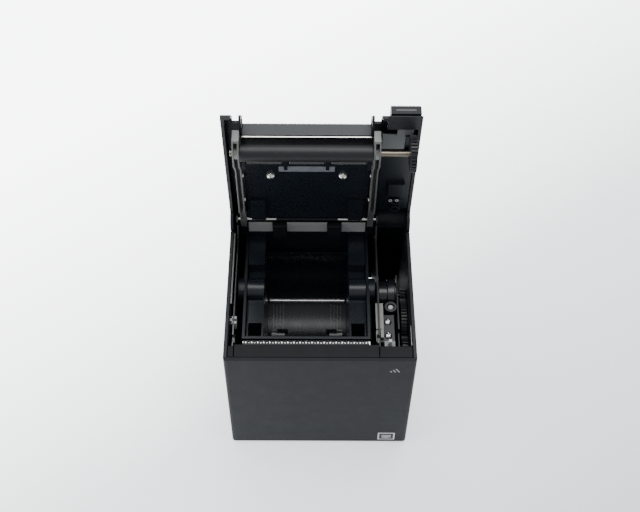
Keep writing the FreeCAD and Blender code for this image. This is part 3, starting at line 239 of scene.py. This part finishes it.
def make_finishes(look):
    """Build every finish once, from the colours in the panel."""
    case = tuple(look.case_colour)
    panel = tuple(look.panel_colour)
    inner = tuple(look.inner_colour)
    FINISHES.update({
        "case_black": moulded("case_black", case, 0.5, 0.00004, specular_ior_level=0.32),
        "panel_black": moulded("panel_black", panel, 0.6, 0.00005, 1300, specular_ior_level=0.22),
        "trim_black": moulded("trim_black", (0.0030, 0.0036, 0.0048), 0.34, 0.00001, 1500,
                              specular_ior_level=0.1),
        "band_black": moulded("band_black", (0.020, 0.023, 0.026), 0.5, 0.00003, 1500),
        "gloss_black": moulded("gloss_black", (0.007, 0.008, 0.010), 0.24, 0.000008, 900),
        "inner_black": moulded("inner_black", inner, 0.38, 0.000008, 1300, specular_ior_level=0.3),
        "inner_gloss": moulded("inner_gloss", inner, 0.28, 0.000003, 900, specular_ior_level=0.42),
        "rib_grey": moulded("rib_grey", (0.060, 0.066, 0.076), 0.3, 0.000004, 900),
        # Pale metallic finish for the bead in the bowl: a painted highlight, standing for the bright line
        # of light on the glossy black bowl
        "highlight_paint": moulded("highlight_paint", (0.62, 0.60, 0.61), 0.16, 0.000002, 900, metallic=0.9),
        "roller_gloss": moulded("roller_gloss", (0.045, 0.043, 0.045), 0.14, 0.000004, 900),
        "pale_sheet": plated_steel("pale_sheet", (0.40, 0.42, 0.44), 0.5, metallic=0.3),
        "motor_black": moulded("motor_black", (0.006, 0.007, 0.009), 0.24, 0.00001, 900),
        "gear_black": moulded("gear_black", (0.012, 0.013, 0.015), 0.42, 0.00001, 1200),
        "steel": plated_steel("steel", (0.24, 0.25, 0.26)),
        "arm_steel": plated_steel("arm_steel", (0.150, 0.158, 0.165), 0.42, metallic=0.45),
        "steel_dim": plated_steel("steel_dim", (0.11, 0.115, 0.12), 0.36),
        "steel_warm": plated_steel("steel_warm", (0.22, 0.20, 0.17), 0.34),
        "shaft_steel": ground_steel("shaft_steel"),
        "knife_steel": ground_steel("knife_steel", 0.16),
        "aluminium": plated_steel("aluminium", (0.50, 0.51, 0.52), 0.34),
        "brass": plated_steel("brass", (0.62, 0.46, 0.19), 0.24),
        "rubber": soft_rubber("rubber"),
        "platen_rubber": ground_rubber("platen_rubber"),
        "board_green": circuit_board("board_green"),
        "ceramic": fired_ceramic("ceramic"),
        "white_plastic": moulded("white_plastic", (0.40, 0.42, 0.41), 0.4, 0.00001, 1200, 0.06),
        "bracket_cream": moulded("bracket_cream", (0.22, 0.23, 0.21), 0.42, 0.00001, 1200, 0.08),
        "grey_plastic": moulded("grey_plastic", (0.14, 0.15, 0.15), 0.42, 0.000015, 1200, 0.08),
        "lens": moulded("lens", (0.42, 0.44, 0.47), 0.18, 0.000004, 900, 0.03),
        "label_silver": printed_label("label_silver", (0.19, 0.20, 0.22)),
        "label_pale": printed_label("label_pale", (0.42, 0.43, 0.44)),
        "mark_grey": moulded("mark_grey", (0.22, 0.225, 0.23), 0.45, 0.00001, 1200, 0.05),
        "mark_dim": moulded("mark_dim", (0.060, 0.062, 0.064), 0.45, 0.00001, 1200, 0.05),
    })


# ------------------------------------------------------------------ mesh helpers
def settle(mesh, name, finish, body, stands_for=(), crease=32):
    """Turn a bmesh into a piece with smooth faces, sharp creases, a finish and a body to ride on."""
    limit = math.radians(crease)
    for face in mesh.faces:
        face.smooth = True
    for edge in mesh.edges:
        edge.smooth = len(edge.link_faces) == 2 and edge.calc_face_angle(0) < limit
    data = bpy.data.meshes.new(name)
    mesh.to_mesh(data)
    mesh.free()
    data.materials.append(FINISHES[finish])
    piece = bpy.data.objects.new(name, data)
    bpy.context.scene.collection.objects.link(piece)
    even = piece.modifiers.new("even_shading", "WEIGHTED_NORMAL")
    even.keep_sharp = True
    even.weight = 100
    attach(piece, body)
    if stands_for:
        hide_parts(*stands_for)
    return piece


def merged_copy(node):
    """The CAD node as one clean bmesh: loose triangles merged and flat faces joined up."""
    mesh = bmesh.new()
    mesh.from_mesh(frame["nodes"][node].data)
    bmesh.ops.remove_doubles(mesh, verts=mesh.verts, dist=0.000004)
    bmesh.ops.dissolve_limit(mesh, angle_limit=math.radians(0.6), verts=mesh.verts, edges=mesh.edges)
    return mesh


def round_over(mesh, edges, width, segments):
    """Round the given edges."""
    bmesh.ops.bevel(mesh, geom=edges, offset=width, offset_type="OFFSET", segments=segments, profile=0.5,
                    affect="EDGES", clamp_overlap=True, material=-1, loop_slide=True)


def soften_edges(mesh, width, segments=2, angle=28):
    """Round every edge sharper than the angle, as a mould or a press leaves it."""
    limit = math.radians(angle)
    chosen = [edge for edge in mesh.edges if len(edge.link_faces) == 2 and edge.calc_face_angle(0) > limit]
    round_over(mesh, chosen, width, segments)
    return mesh


BODIES = frame["record"]["behaviour"]["bodies"]
BODY_OF = {node: body for body, members in BODIES.items() for node in members}
SLOT_OF = {part["node"]: part["material_slot"] for part in frame["record"]["subparts"]}


def softened(node, width, finish=None, segments=2, angle=28):
    """A CAD node with its edges rounded, standing for the node."""
    mesh = soften_edges(merged_copy(node), width * MM, segments, angle)
    slot = SLOT_OF[node]
    return settle(mesh, node + "_piece", finish or slot, BODY_OF[node], (node,))


def block(mesh, low, high):
    """Add a box between two corners to a bmesh and return its vertices."""
    made = bmesh.ops.create_cube(mesh, size=1)["verts"]
    low, high = Vector(low), Vector(high)
    bmesh.ops.scale(mesh, vec=high - low, verts=made)
    bmesh.ops.translate(mesh, vec=(low + high) / 2, verts=made)
    return made


def turned(mesh, radius, low, high, axis, centre, sides=40):
    """Add a cylinder along X or Y; centre gives the two other coordinates in X, Y, Z order."""
    made = bmesh.ops.create_cone(mesh, cap_ends=True, segments=sides, radius1=radius, radius2=radius,
                                 depth=high - low)["verts"]
    spin = {"x": Matrix.Rotation(math.pi / 2, 4, "Y"), "y": Matrix.Rotation(-math.pi / 2, 4, "X")}[axis]
    middle = (low + high) / 2
    spot = {"x": (middle, *centre), "y": (centre[0], middle, centre[1])}[axis]
    bmesh.ops.transform(mesh, matrix=Matrix.Translation(spot) @ spin, verts=made)


JOINTS = {row["name"]: row for row in frame["record"]["behaviour"]["joints"]}
LID_JOINT = JOINTS["lid_hinge"]
OPEN_ANGLE = math.radians(LID_JOINT["range_deg"][1])
HINGE = Vector(LID_JOINT["pos_m"])
LID = Matrix.Translation((0, HINGE.y, HINGE.z)) @ Matrix.Rotation(-OPEN_ANGLE, 4, "X")


def on_lid(mesh):
    """Swing a shape drawn on the closed cover (x, minus the reach, the rise) to where the cover stands."""
    bmesh.ops.transform(mesh, matrix=LID, verts=mesh.verts)
    return mesh


def lid_blocks(*spans):
    """Boxes on the closed cover; a span is (x low, x high, reach low, reach high, rise low, rise high)."""
    mesh = bmesh.new()
    for left, right, near, far, low, high in spans:
        block(mesh, Vector((left, -far, low)) * MM, Vector((right, -near, high)) * MM)
    return mesh


def blocks(*spans):
    """Boxes in millimetres; each span is (x low, x high, y low, y high, z low, z high)."""
    mesh = bmesh.new()
    for left, right, front, rear, low, high in spans:
        block(mesh, Vector((left, front, low)) * MM, Vector((right, rear, high)) * MM)
    return mesh


def pan_screw(mesh, spot, radius, height, into):
    """A domed screw head with a cross recess, its axis along Z at spot, drawn in metres."""
    made = bmesh.ops.create_uvsphere(mesh, u_segments=28, v_segments=14, radius=radius)["verts"]
    bmesh.ops.scale(mesh, vec=(1, 1, height / radius), verts=made)
    lower = [v for v in made if v.co.z < -height * 0.02]
    bmesh.ops.delete(mesh, geom=lower, context="VERTS")
    head = [v for v in made if v.is_valid]
    rim = [e for e in mesh.edges if e.is_boundary and e.verts[0] in head]
    bmesh.ops.holes_fill(mesh, edges=rim, sides=0)
    slots = []
    for wide, deep in ((radius * 1.15, radius * 0.2), (radius * 0.2, radius * 1.15)):
        slots += block(mesh, (-wide / 2, -deep / 2, height * 0.72), (wide / 2, deep / 2, height * 1.01))
    bmesh.ops.transform(mesh, matrix=Matrix.Translation(spot) @ into, verts=head + slots)


# ------------------------------------------------------------------ sizes and colours in the panel
class PrinterLook(bpy.types.PropertyGroup):
    case_colour: FloatVectorProperty(
        name="Case colour", description="Colour of the outer case and cover", subtype="COLOR",
        default=(0.006, 0.007, 0.0095), min=0, max=1)
    panel_colour: FloatVectorProperty(
        name="Panel colour", description="Colour of the textured front panel", subtype="COLOR",
        default=(0.0052, 0.0064, 0.0086), min=0, max=1)
    inner_colour: FloatVectorProperty(
        name="Inner colour", description="Colour of the mouldings inside the case", subtype="COLOR",
        default=(0.0056, 0.0080, 0.0118), min=0, max=1)
    edge_radius: FloatProperty(
        name="Edge radius", description="Rounding of moulded outer edges, in millimetres",
        default=0.7, min=0.1, max=1.5)
    sheet_radius: FloatProperty(
        name="Sheet edge radius", description="Rounding of pressed steel edges, in millimetres",
        default=0.12, min=0.02, max=0.4)
    light_power: FloatProperty(
        name="Light power", description="Power of the main soft light, in watts", default=9.0, min=0)


class PrinterOperator:
    """Shared by every operator of the panel."""
    bl_options = {"REGISTER", "UNDO"}

    @property
    def look(self):
        return bpy.context.scene.printer_look


def spread(node):
    """Lowest and highest corner of a node in millimetres."""
    low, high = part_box(node)
    return Vector(low) / MM, Vector(high) / MM


def closed_spread(node):
    """Extents of a cover node with the cover shut: x, reach from the hinge and rise above it."""
    back = LID.inverted()
    spots = [back @ vertex.co / MM for vertex in frame["nodes"][node].data.vertices]
    low = Vector([min(spot[i] for spot in spots) for i in range(3)])
    high = Vector([max(spot[i] for spot in spots) for i in range(3)])
    return (low.x, high.x), (-high.y, -low.y), (low.z, high.z)


def detail(name, finish, body, mesh, width=0.0):
    """An added fine piece, with rounded edges where a width is given."""
    if width:
        soften_edges(mesh, width * MM)
    return settle(mesh, name, finish, body)


def ring_arc(mesh, half_width, x, radius, depth, centre, start, stop):
    """A rib that follows the roll bowl: a small face spun round an axis along X, angles down from +Y."""
    turn = math.radians(start)
    out = Vector((0, math.cos(turn), -math.sin(turn)))
    base = Vector((0, *centre))
    corners = []
    for side, reach in ((-1, radius), (1, radius), (1, radius - depth), (-1, radius - depth)):
        corners.append(mesh.verts.new((base + Vector((x + side * half_width, 0, 0)) + out * reach) * MM))
    face = mesh.faces.new(corners)
    bmesh.ops.spin(mesh, geom=[face, *face.verts, *face.edges], cent=base * MM, axis=(1, 0, 0),
                   angle=-math.radians(stop - start), steps=18, use_merge=False, use_duplicate=False)
    bmesh.ops.recalc_face_normals(mesh, faces=mesh.faces)


def close_ends(mesh):
    """Cap any open rim left by a spin."""
    rim = [edge for edge in mesh.edges if edge.is_boundary]
    bmesh.ops.holes_fill(mesh, edges=rim, sides=0)
    bmesh.ops.recalc_face_normals(mesh, faces=mesh.faces)


class PRINTER_OT_case(PrinterOperator, bpy.types.Operator):
    """Case walls, bottom tray, feet and the trim round the mouth"""
    bl_idname = "printer.case"
    bl_label = "Case"

    def execute(self, context):
        radius = self.look.edge_radius
        softened("case_shell", radius, segments=3)
        softened("bottom_tray", 0.5)
        softened("rubber_feet", 0.8, segments=3)
        softened("front_trim", 0.35, "trim_black", segments=3)
        softened("front_shoulders", 0.5, "trim_black", segments=3)
        self.comb()
        return {"FINISHED"}

    @staticmethod
    def comb():
        """A steel strip with a row of fine pointed teeth along the front of the mouth."""
        softened("tear_comb", 0.08, "inner_black")
        low, high = spread("tear_comb")
        mesh = bmesh.new()
        count, margin, tall, tip, flatness = 62, 0.5, 1.5, 0.08, 0.35
        pitch = (high.x - low.x - 2 * margin) / count
        for i in range(count):
            x = low.x + margin + pitch * (i + 0.5)
            made = bmesh.ops.create_cone(mesh, cap_ends=True, segments=4, radius1=pitch * 0.52 * MM,
                                         radius2=tip * MM, depth=tall * MM)["verts"]
            bmesh.ops.scale(mesh, vec=(1, flatness, 1), verts=made)
            bmesh.ops.translate(mesh, vec=Vector((x, high.y - 0.25, high.z - 0.35)) * MM, verts=made)
        detail("comb_teeth", "steel_dim", "base", mesh)


class PRINTER_OT_front(PrinterOperator, bpy.types.Operator):
    """Textured front panel with its small plain mark and blank label"""
    bl_idname = "printer.front"
    bl_label = "Front panel"

    def execute(self, context):
        low, high = spread("front_panel")
        plate = merged_copy("front_panel")
        for chosen, radius in ((self.upright, 2.5), (self.level, 1.6)):
            round_over(plate, [edge for edge in plate.edges if chosen(edge, low, high)], radius * MM, 6)
        soften_edges(plate, 0.5 * MM, 3, 50)
        settle(plate, "front_panel_piece", "panel_black", "base", ("front_panel",))
        face = low.y
        bars = bmesh.new()
        half = 0.5
        for i, length in enumerate((2.0, 3.4, 4.8)):
            made = block(bars, Vector((-half, 0, -length / 2)) * MM, Vector((half, 0.5, length / 2)) * MM)
            lean = Matrix.Rotation(math.radians(-32), 4, "Y")
            spot = Matrix.Translation(Vector((46.9 + i * 2.2, face - 0.06, 102.2 + i * 0.7)) * MM)
            bmesh.ops.transform(bars, matrix=spot @ lean, verts=made)
        detail("plain_mark", "mark_grey", "base", bars, 0.1)
        sheet = blocks((42.6, 55.0, face - 0.08, face + 0.4, 5.4, 15.6))
        detail("front_label", "label_pale", "base", sheet, 0.12)
        window = blocks((43.7, 53.9, face - 0.13, face + 0.3, 6.5, 14.5))
        detail("front_label_window", "case_black", "base", window, 0.08)
        insert = blocks((45.4, 52.2, face - 0.17, face + 0.2, 8.3, 12.6),
                        (47.4, 50.2, face - 0.17, face + 0.2, 7.5, 8.4))
        detail("front_label_block", "mark_grey", "base", insert, 0.05)
        return {"FINISHED"}

    @staticmethod
    def upright(edge, low, high):
        """True for the two outer upright edges of the front face."""
        first, second = (vertex.co / MM for vertex in edge.verts)
        at_side = min(abs(first.x - low.x), abs(first.x - high.x)) < 0.1
        return at_side and abs(first.y - low.y) < 0.1 and abs(second.z - first.z) > 50

    @staticmethod
    def level(edge, low, high):
        """True for the lower edge of the front face."""
        first, second = (vertex.co / MM for vertex in edge.verts)
        return max(abs(spot.z - low.z) + abs(spot.y - low.y) for spot in (first, second)) < 0.1


class PRINTER_OT_rear(PrinterOperator, bpy.types.Operator):
    """Recessed socket panel, its sockets and the main board behind them"""
    bl_idname = "printer.rear"
    bl_label = "Rear sockets"

    def execute(self, context):
        softened("socket_panel", 0.4, "inner_black")
        for node in ("dc_inlet", "drawer_socket"):
            softened(node, 0.25, "case_black", segments=3)
        for node in ("lan_socket", "usb_socket"):
            softened(node, 0.18, "steel")
        softened("main_board", 0.1)
        self.contacts()
        self.board_parts()
        return {"FINISHED"}

    @staticmethod
    def contacts():
        """Spring contacts inside the network and drawer sockets, pins in the supply inlet."""
        mesh = bmesh.new()
        for node, count, pitch in (("lan_socket", 8, 1.02), ("drawer_socket", 6, 1.02)):
            low, high = spread(node)
            middle = (low.x + high.x) / 2
            for i in range(count):
                x = middle + (i - (count - 1) / 2) * pitch
                block(mesh, Vector((x - 0.2, high.y - 9, high.z - 3.1)) * MM,
                      Vector((x + 0.2, high.y - 2, high.z - 2.7)) * MM)
        low, high = spread("dc_inlet")
        middle = (low + high) / 2
        for dx, dz in ((-2, -1.2), (2, -1.2), (0, 2.2)):
            turned(mesh, 0.55 * MM, (high.y - 8) * MM, (high.y - 1.5) * MM, "y",
                   ((middle.x + dx) * MM, (middle.z + dz) * MM), 20)
        detail("socket_contacts", "brass", "base", mesh)

    @staticmethod
    def board_parts():
        """Chips and a connector block on top of the main board."""
        chips = bmesh.new()
        top = spread("main_board")[1].z
        for x, y, wide, deep, tall in ((-30, -20, 12, 12, 1.2), (-8, 5, 9, 7, 1.1), (18, -12, 7, 5, 1.4),
                                       (30, 12, 10, 8, 1.2), (-38, 18, 6, 8, 2.4)):
            block(chips, Vector((x, y, top)) * MM, Vector((x + wide, y + deep, top + tall)) * MM)
        detail("board_chips", "gloss_black", "base", chips, 0.15)


class PRINTER_OT_bucket(PrinterOperator, bpy.types.Operator):
    """Glossy round-bottomed bowl for the roll and its side cheeks"""
    bl_idname = "printer.bucket"
    bl_label = "Roll bucket"

    def execute(self, context):
        softened("roll_tray", 0.3, "inner_black")
        softened("width_insert", 0.45, "inner_gloss", segments=3)
        low, high = spread("width_insert")
        middle = (low.x + high.x) / 2
        ribs = bmesh.new()
        first_rib, rib_pitch = 18.2, 2.5
        for side in (-1, 1):
            for i in range(4):
                x = middle + side * (first_rib + rib_pitch * i)
                ring_arc(ribs, 0.35, x, BOWL_RADIUS + 0.2, 0.9, BOWL_CENTRE, 51, 77)
        close_ends(ribs)
        detail("bowl_ribs", "rib_grey", "base", ribs)
        # A pale metallic rod across the bowl floor; its colour paints the bright highlight line on the
        # black bowl
        bead = bmesh.new()
        turn, half = math.radians(47), 28.6
        y = BOWL_CENTRE[0] + BOWL_RADIUS * math.cos(turn)
        z = BOWL_CENTRE[1] - BOWL_RADIUS * math.sin(turn)
        turned(bead, 1.7 * MM, (middle - half) * MM, (middle + half) * MM, "x", (y * MM, z * MM))
        detail("bowl_highlight_bead", "highlight_paint", "base", bead, 0.1)
        bars = bmesh.new()
        half, foot, top = 4.9, 17, 22.4
        for side in (-1, 1):
            x = middle + side * 22
            for front, rear in ((19.8, 20.5), (15.4, 17.8)):
                block(bars, Vector((x - half, front, foot)) * MM, Vector((x + half, rear, top)) * MM)
        detail("bowl_feet", "white_plastic", "base", bars, 0.2)
        return {"FINISHED"}


class PRINTER_OT_frame(PrinterOperator, bpy.types.Operator):
    """Pressed steel plates, the hinge line, the crossbar and its tabs"""
    bl_idname = "printer.frame"
    bl_label = "Steel frame"

    def execute(self, context):
        radius = self.look.sheet_radius
        # The right side plate is steel like the left one but takes the dark gear finish: painted shade, so
        # its top edge shows no highlight
        for node, finish in (("side_plate_left", "steel_dim"), ("side_plate_right", "gear_black"),
                             ("mechanism_frame", "steel_dim"), ("gear_bridge", "gear_black")):
            softened(node, radius, finish)
        softened("hinge_rod", 0.2, "shaft_steel")
        softened("rear_crossbar", radius, "inner_black")
        low, high = spread("rear_crossbar")
        middle = (low.x + high.x) / 2
        faces = []
        for left, right in ((-41.6, -24.6), (-14.4, 14.4), (24.6, 41.6)):
            faces.append((middle + left, middle + right, low.y - 0.06, low.y + 0.6,
                          high.z - 10, high.z + 0.02))
        detail("crossbar_faces", "pale_sheet", "base", blocks(*faces), radius)
        sleeve = bmesh.new()
        rod_low, rod_high = spread("hinge_rod")
        half = 22
        turned(sleeve, 0.06 * MM + (rod_high.z - rod_low.z) / 2 * MM, (middle - half) * MM,
               (middle + half) * MM, "x", (HINGE.y, HINGE.z))
        detail("hinge_sleeve", "inner_black", "base", sleeve)
        softened("paper_tabs", 0.4, "case_black", segments=3)
        softened("springs", 0.06, "shaft_steel")
        left = spread("side_plate_left")[0].x
        right = spread("side_plate_right")[1].x
        rise = spread("side_plate_left")[1].z
        flange = blocks((left - 1.2, left - 0.1, -20, 40, rise - 5.0, rise - 4.4))
        detail("plate_flange", "steel_dim", "base", flange, radius)
        bars = blocks(*((near, far, 43.6, 45.2, 78, 108)
                        for near, far in ((left + 0.3, left + 1.4), (right - 2.2, right - 1.1))))
        detail("plate_bars", "steel", "base", bars, radius)
        foot, top = 97, 103.6
        clip = blocks((left - 2.1, left + 2.5, -27, -24.8, foot, top),
                      (left - 2.1, left + 2.5, -23, -21, foot, top),
                      (left - 2.1, left - 0.4, -27, -21, foot, top))
        detail("wire_clip", "white_plastic", "base", clip, 0.25)
        return {"FINISHED"}


class PRINTER_OT_drive(PrinterOperator, bpy.types.Operator):
    """Feed motor, gears, cutter motor and the brackets beside them"""
    bl_idname = "printer.drive"
    bl_label = "Drive"

    def execute(self, context):
        softened("feed_motor", 0.5, "motor_black", segments=3)
        softened("cutter_motor", 0.4, "motor_black", segments=3)
        for node in ("output_gear", "idler_gear", "motor_pinion", "cutter_pinion"):
            softened(node, 0.07, "gear_black", angle=40)
        softened("motor_bracket", 0.2, "gear_black")
        corner = spread("motor_bracket")[1]
        top = corner.z
        fold = blocks((38.3, 43.6, -28.6, -7.5, top + 0.1, top + 1.1),
                      (38.3, 41.0, -38, -28.8, top - 1.2, top - 0.2),
                      (41.2, 43.4, -36, -29.4, top + 0.2, top + 2.0))
        detail("bracket_fold", "bracket_cream", "base", fold, 0.25)
        softened("switch_blocks", 0.3, "grey_plastic")
        self.screws()
        blob = bmesh.new()
        made = bmesh.ops.create_icosphere(blob, subdivisions=3, radius=1.9 * MM)["verts"]
        bmesh.ops.scale(blob, vec=(1, 1, 0.6), verts=made)
        bmesh.ops.translate(blob, vec=Vector((corner.x - 4.2, -9.5, top - 1.2)) * MM, verts=made)
        detail("wire_seal", "white_plastic", "base", blob)
        case_right = spread("case_shell")[1].x
        lip = blocks((case_right - 3.0, case_right - 2.4, -49, -33, 106, 111.5))
        detail("right_lip", "steel", "base", lip, 0.15)
        return {"FINISHED"}

    @staticmethod
    def screws():
        mesh = bmesh.new()
        low, high = spread("bracket_screws")
        middle = (low.x + high.x) / 2
        radius = (high.x - low.x) / 2
        for y in (low.y + radius, high.y - radius):
            pan_screw(mesh, Vector((middle, y, low.z)) * MM, radius * MM, (high.z - low.z) * MM,
                      Matrix.Identity(4))
        piece = settle(mesh, "bracket_screws_piece", "shaft_steel", "base", ("bracket_screws",))


class PRINTER_OT_printing(PrinterOperator, bpy.types.Operator):
    """Print head, its heating strip, the latch, the feeler and the cutter blade"""
    bl_idname = "printer.printing"
    bl_label = "Head and latch"

    def execute(self, context):
        radius = self.look.sheet_radius
        softened("print_head", radius, "aluminium")
        softened("head_ceramic", 0.08, "ceramic")
        softened("latch_hooks", radius, "steel")
        softened("paper_feeler", 0.25, "case_black")
        softened("switch_plunger", 0.3, "white_plastic", segments=3)
        softened("cutter_blade", 0.06, "knife_steel")
        return {"FINISHED"}


class PRINTER_OT_cover(PrinterOperator, bpy.types.Operator):
    """Roll cover, the band over the paper mouth and the status light"""
    bl_idname = "printer.cover"
    bl_label = "Cover"

    def execute(self, context):
        softened("cover_shell", self.look.edge_radius, "case_black", segments=3)
        softened("exit_band", 0.3, "band_black", segments=3)
        softened("status_lens", 0.2, "lens", segments=3)
        return {"FINISHED"}


class PRINTER_OT_lining(PrinterOperator, bpy.types.Operator):
    """Lining of the cover with its screws and label, and the side lining over the control board"""
    bl_idname = "printer.lining"
    bl_label = "Cover lining"

    def execute(self, context):
        softened("cover_liner", 0.4, "inner_gloss", segments=3)
        softened("blank_label", 0.08, "label_silver")
        softened("side_liner", 0.4, "inner_black", segments=3)
        softened("control_board", 0.1, "inner_black")
        self.screws()
        curls = bmesh.new()
        for x in (48.2, 52.7):
            made = bmesh.ops.create_cone(curls, cap_ends=False, segments=20, radius1=1.2 * MM,
                                         radius2=1.2 * MM, depth=0.5 * MM)["verts"]
            bmesh.ops.translate(curls, vec=Vector((x, -28, -3.2)) * MM, verts=made)
        bmesh.ops.solidify(curls, geom=curls.faces, thickness=0.35 * MM)
        detail("wire_curls", "white_plastic", "cover", on_lid(curls))
        return {"FINISHED"}

    @staticmethod
    def screws():
        """Pan heads on the lining, seen from under the cover."""
        (left, right), (near, far), (low, high) = closed_spread("liner_screws")
        radius = (far - near) / 2
        mesh = bmesh.new()
        for x in (left + radius, right - radius):
            pan_screw(mesh, Vector((x, -(near + far) / 2, high)) * MM, radius * MM, (high - low + 0.9) * MM,
                      Matrix.Rotation(math.pi, 4, "X"))
        piece = settle(on_lid(mesh), "liner_screws_piece", "shaft_steel", "cover", ("liner_screws",))


class PRINTER_OT_arms(PrinterOperator, bpy.types.Operator):
    """Folded steel arms of the cover, their pins and bearings, and the fixed blade"""
    bl_idname = "printer.arms"
    bl_label = "Arms and blade"

    def execute(self, context):
        radius = self.look.sheet_radius
        for node in ("cover_arm_left", "cover_arm_right"):
            softened(node, radius, "arm_steel")
        softened("cover_pins", 0.15, "shaft_steel")
        softened("platen_bearings", 0.25, "bracket_cream", segments=3)
        # The fixed blade is steel but takes the dark gear finish: painted shade over its face, leaving only
        # the ground edge strip bright
        softened("fixed_blade", 0.06, "gear_black")
        (left, right), (_, far), (low, high) = closed_spread("fixed_blade")
        edge = lid_blocks((left + 0.1, right - 0.1, far - 1.5, far + 0.02, low - 0.03, high - 0.05))
        detail("blade_edge", "knife_steel", "cover", on_lid(edge), 0.08)
        softened("blade_bar", 0.2, "inner_black")
        return {"FINISHED"}


class PRINTER_OT_rollers(PrinterOperator, bpy.types.Operator):
    """Platen roller with its shaft and gear, and the guide rollers behind it"""
    bl_idname = "printer.rollers"
    bl_label = "Rollers"

    def execute(self, context):
        softened("platen_rubber", 0.3, "platen_rubber", segments=3)
        softened("platen_shaft", 0.15, "steel_warm")
        softened("platen_gear", 0.07, "gear_black", angle=40)
        softened("guide_rollers", 0.4, "roller_gloss", segments=3)
        return {"FINISHED"}


class PRINTER_OT_controls(PrinterOperator, bpy.types.Operator):
    """Release button with its slider, and the two keys"""
    bl_idname = "printer.controls"
    bl_label = "Button and keys"

    def execute(self, context):
        softened("release_button", 0.9, "case_black", segments=4)
        softened("release_slider", 0.2, "grey_plastic")
        softened("feed_key", 0.35, "case_black", segments=3)
        softened("power_key", 0.35, "case_black", segments=3)
        (left, right), (_, far), (low, high) = closed_spread("release_button")
        inset = lid_blocks((left + 3.2, right - 3.2, far - 0.5, far + 0.06, low + 2.4, high - 5.2))
        detail("button_inset", "mark_dim", BODY_OF["release_button"], on_lid(inset), 0.2)
        return {"FINISHED"}


class PRINTER_OT_stage(PrinterOperator, bpy.types.Operator):
    """Pale floor that glows with painted light and shade, soft lights and the camera"""
    bl_idname = "printer.stage"
    bl_label = "Stage"

    def execute(self, context):
        scene = context.scene
        mesh = bmesh.new()
        bmesh.ops.create_grid(mesh, x_segments=1, y_segments=1, size=3.0)
        data = bpy.data.meshes.new("floor")
        mesh.to_mesh(data)
        mesh.free()
        paper = Finish("floor_paper", roughness=0.8, emission_strength=1.0)
        mottle = paper.noise(3, 2)
        paper.feed("Base Color", paper.mix(mottle, (0.80, 0.81, 0.83, 1), (0.83, 0.84, 0.86, 1)))
        across = paper.node("ShaderNodeSeparateXYZ", {}, {0: paper.place}, output=0)
        along = paper.node("ShaderNodeSeparateXYZ", {}, {0: paper.place}, output=1)
        # The floor's emission paints light and shade: brightest towards the rear and left, dimming towards
        # the front and right
        painted_light_sweep = along * 1.3 - across * 0.9 + 0.45
        paper.feed("Emission Color", paper.ramp(painted_light_sweep, (0.0, (0.05, 0.05, 0.05)), (0.45, (1.2, 1.25, 1.28)),
                                                (1.0, (6.0, 6.1, 6.2))))
        data.materials.append(paper.material)
        floor = bpy.data.objects.new("floor", data)
        scene.collection.objects.link(floor)
        world = bpy.data.worlds.new("studio")
        scene.world = world
        world.use_nodes = True
        world.node_tree.nodes["Background"].inputs[0].default_value = (0.93, 0.96, 1.0, 1)
        world.node_tree.nodes["Background"].inputs[1].default_value = 0.72
        for name, size, power, spot, aim in (
                ("top_light", 1.4, self.look.light_power * 3, (0.1, 0.35, 1.6), (0, 0, 0.1)),
                ("left_light", 0.9, self.look.light_power, (-1.2, -0.3, 1.1), (0, 0, 0.12))):
            lamp = bpy.data.lights.new(name, "AREA")
            lamp.size = size
            lamp.energy = power
            holder = bpy.data.objects.new(name, lamp)
            scene.collection.objects.link(holder)
            holder.location = spot
            holder.rotation_euler = (Vector(spot) - Vector(aim)).to_track_quat("Z", "Y").to_euler()
        self.camera(scene)
        return {"FINISHED"}

    @staticmethod
    def camera(scene):
        """A camera above and in front, tipped well down, as a person looks into the open printer."""
        spot = Vector((-4.8, -430.4, 723.0)) * MM
        pitch, yaw, roll = math.radians(53.35), math.radians(0.60), math.radians(-0.72)
        level = math.cos(pitch)
        forward = Vector((math.sin(yaw) * level, math.cos(yaw) * level, -math.sin(pitch)))
        right = Vector((math.cos(yaw), -math.sin(yaw), 0))
        down = forward.cross(right)
        turned_right = right * math.cos(roll) + down * math.sin(roll)
        turned_down = down * math.cos(roll) - right * math.sin(roll)
        lens = bpy.data.cameras.new("view_camera")
        lens.lens = 61.1
        lens.sensor_width = 36
        lens.clip_start = 0.01
        holder = bpy.data.objects.new("view_camera", lens)
        scene.collection.objects.link(holder)
        axes = Matrix((turned_right, -turned_down, -forward)).transposed()
        holder.matrix_world = Matrix.Translation(spot) @ axes.to_4x4()
        scene.camera = holder


class PRINTER_PT_panel(bpy.types.Panel):
    """Lists the sizes, colours and pieces"""
    bl_idname = "PRINTER_PT_panel"
    bl_label = "Receipt Printer"
    bl_space_type = "VIEW_3D"
    bl_region_type = "UI"
    bl_category = "Printer"

    def draw(self, context):
        look = context.scene.printer_look
        for name in PrinterLook.__annotations__:
            self.layout.prop(look, name)
        for operator in OPERATORS:
            self.layout.operator(operator.bl_idname)


OPERATORS = (PRINTER_OT_stage, PRINTER_OT_case, PRINTER_OT_front, PRINTER_OT_rear, PRINTER_OT_bucket,
             PRINTER_OT_frame, PRINTER_OT_drive, PRINTER_OT_printing, PRINTER_OT_cover, PRINTER_OT_lining,
             PRINTER_OT_arms, PRINTER_OT_rollers, PRINTER_OT_controls)
CLASSES = (PrinterLook, *OPERATORS, PRINTER_PT_panel)


def register():
    for made in CLASSES:
        bpy.utils.register_class(made)
    bpy.types.Scene.printer_look = PointerProperty(type=PrinterLook)


def unregister():
    del bpy.types.Scene.printer_look
    for made in reversed(CLASSES):
        bpy.utils.unregister_class(made)


def main():
    register()
    make_finishes(bpy.context.scene.printer_look)
    for operator in OPERATORS:
        group, name = operator.bl_idname.split(".")
        getattr(getattr(bpy.ops, group), name)()


if __name__ == "__main__":
    main()
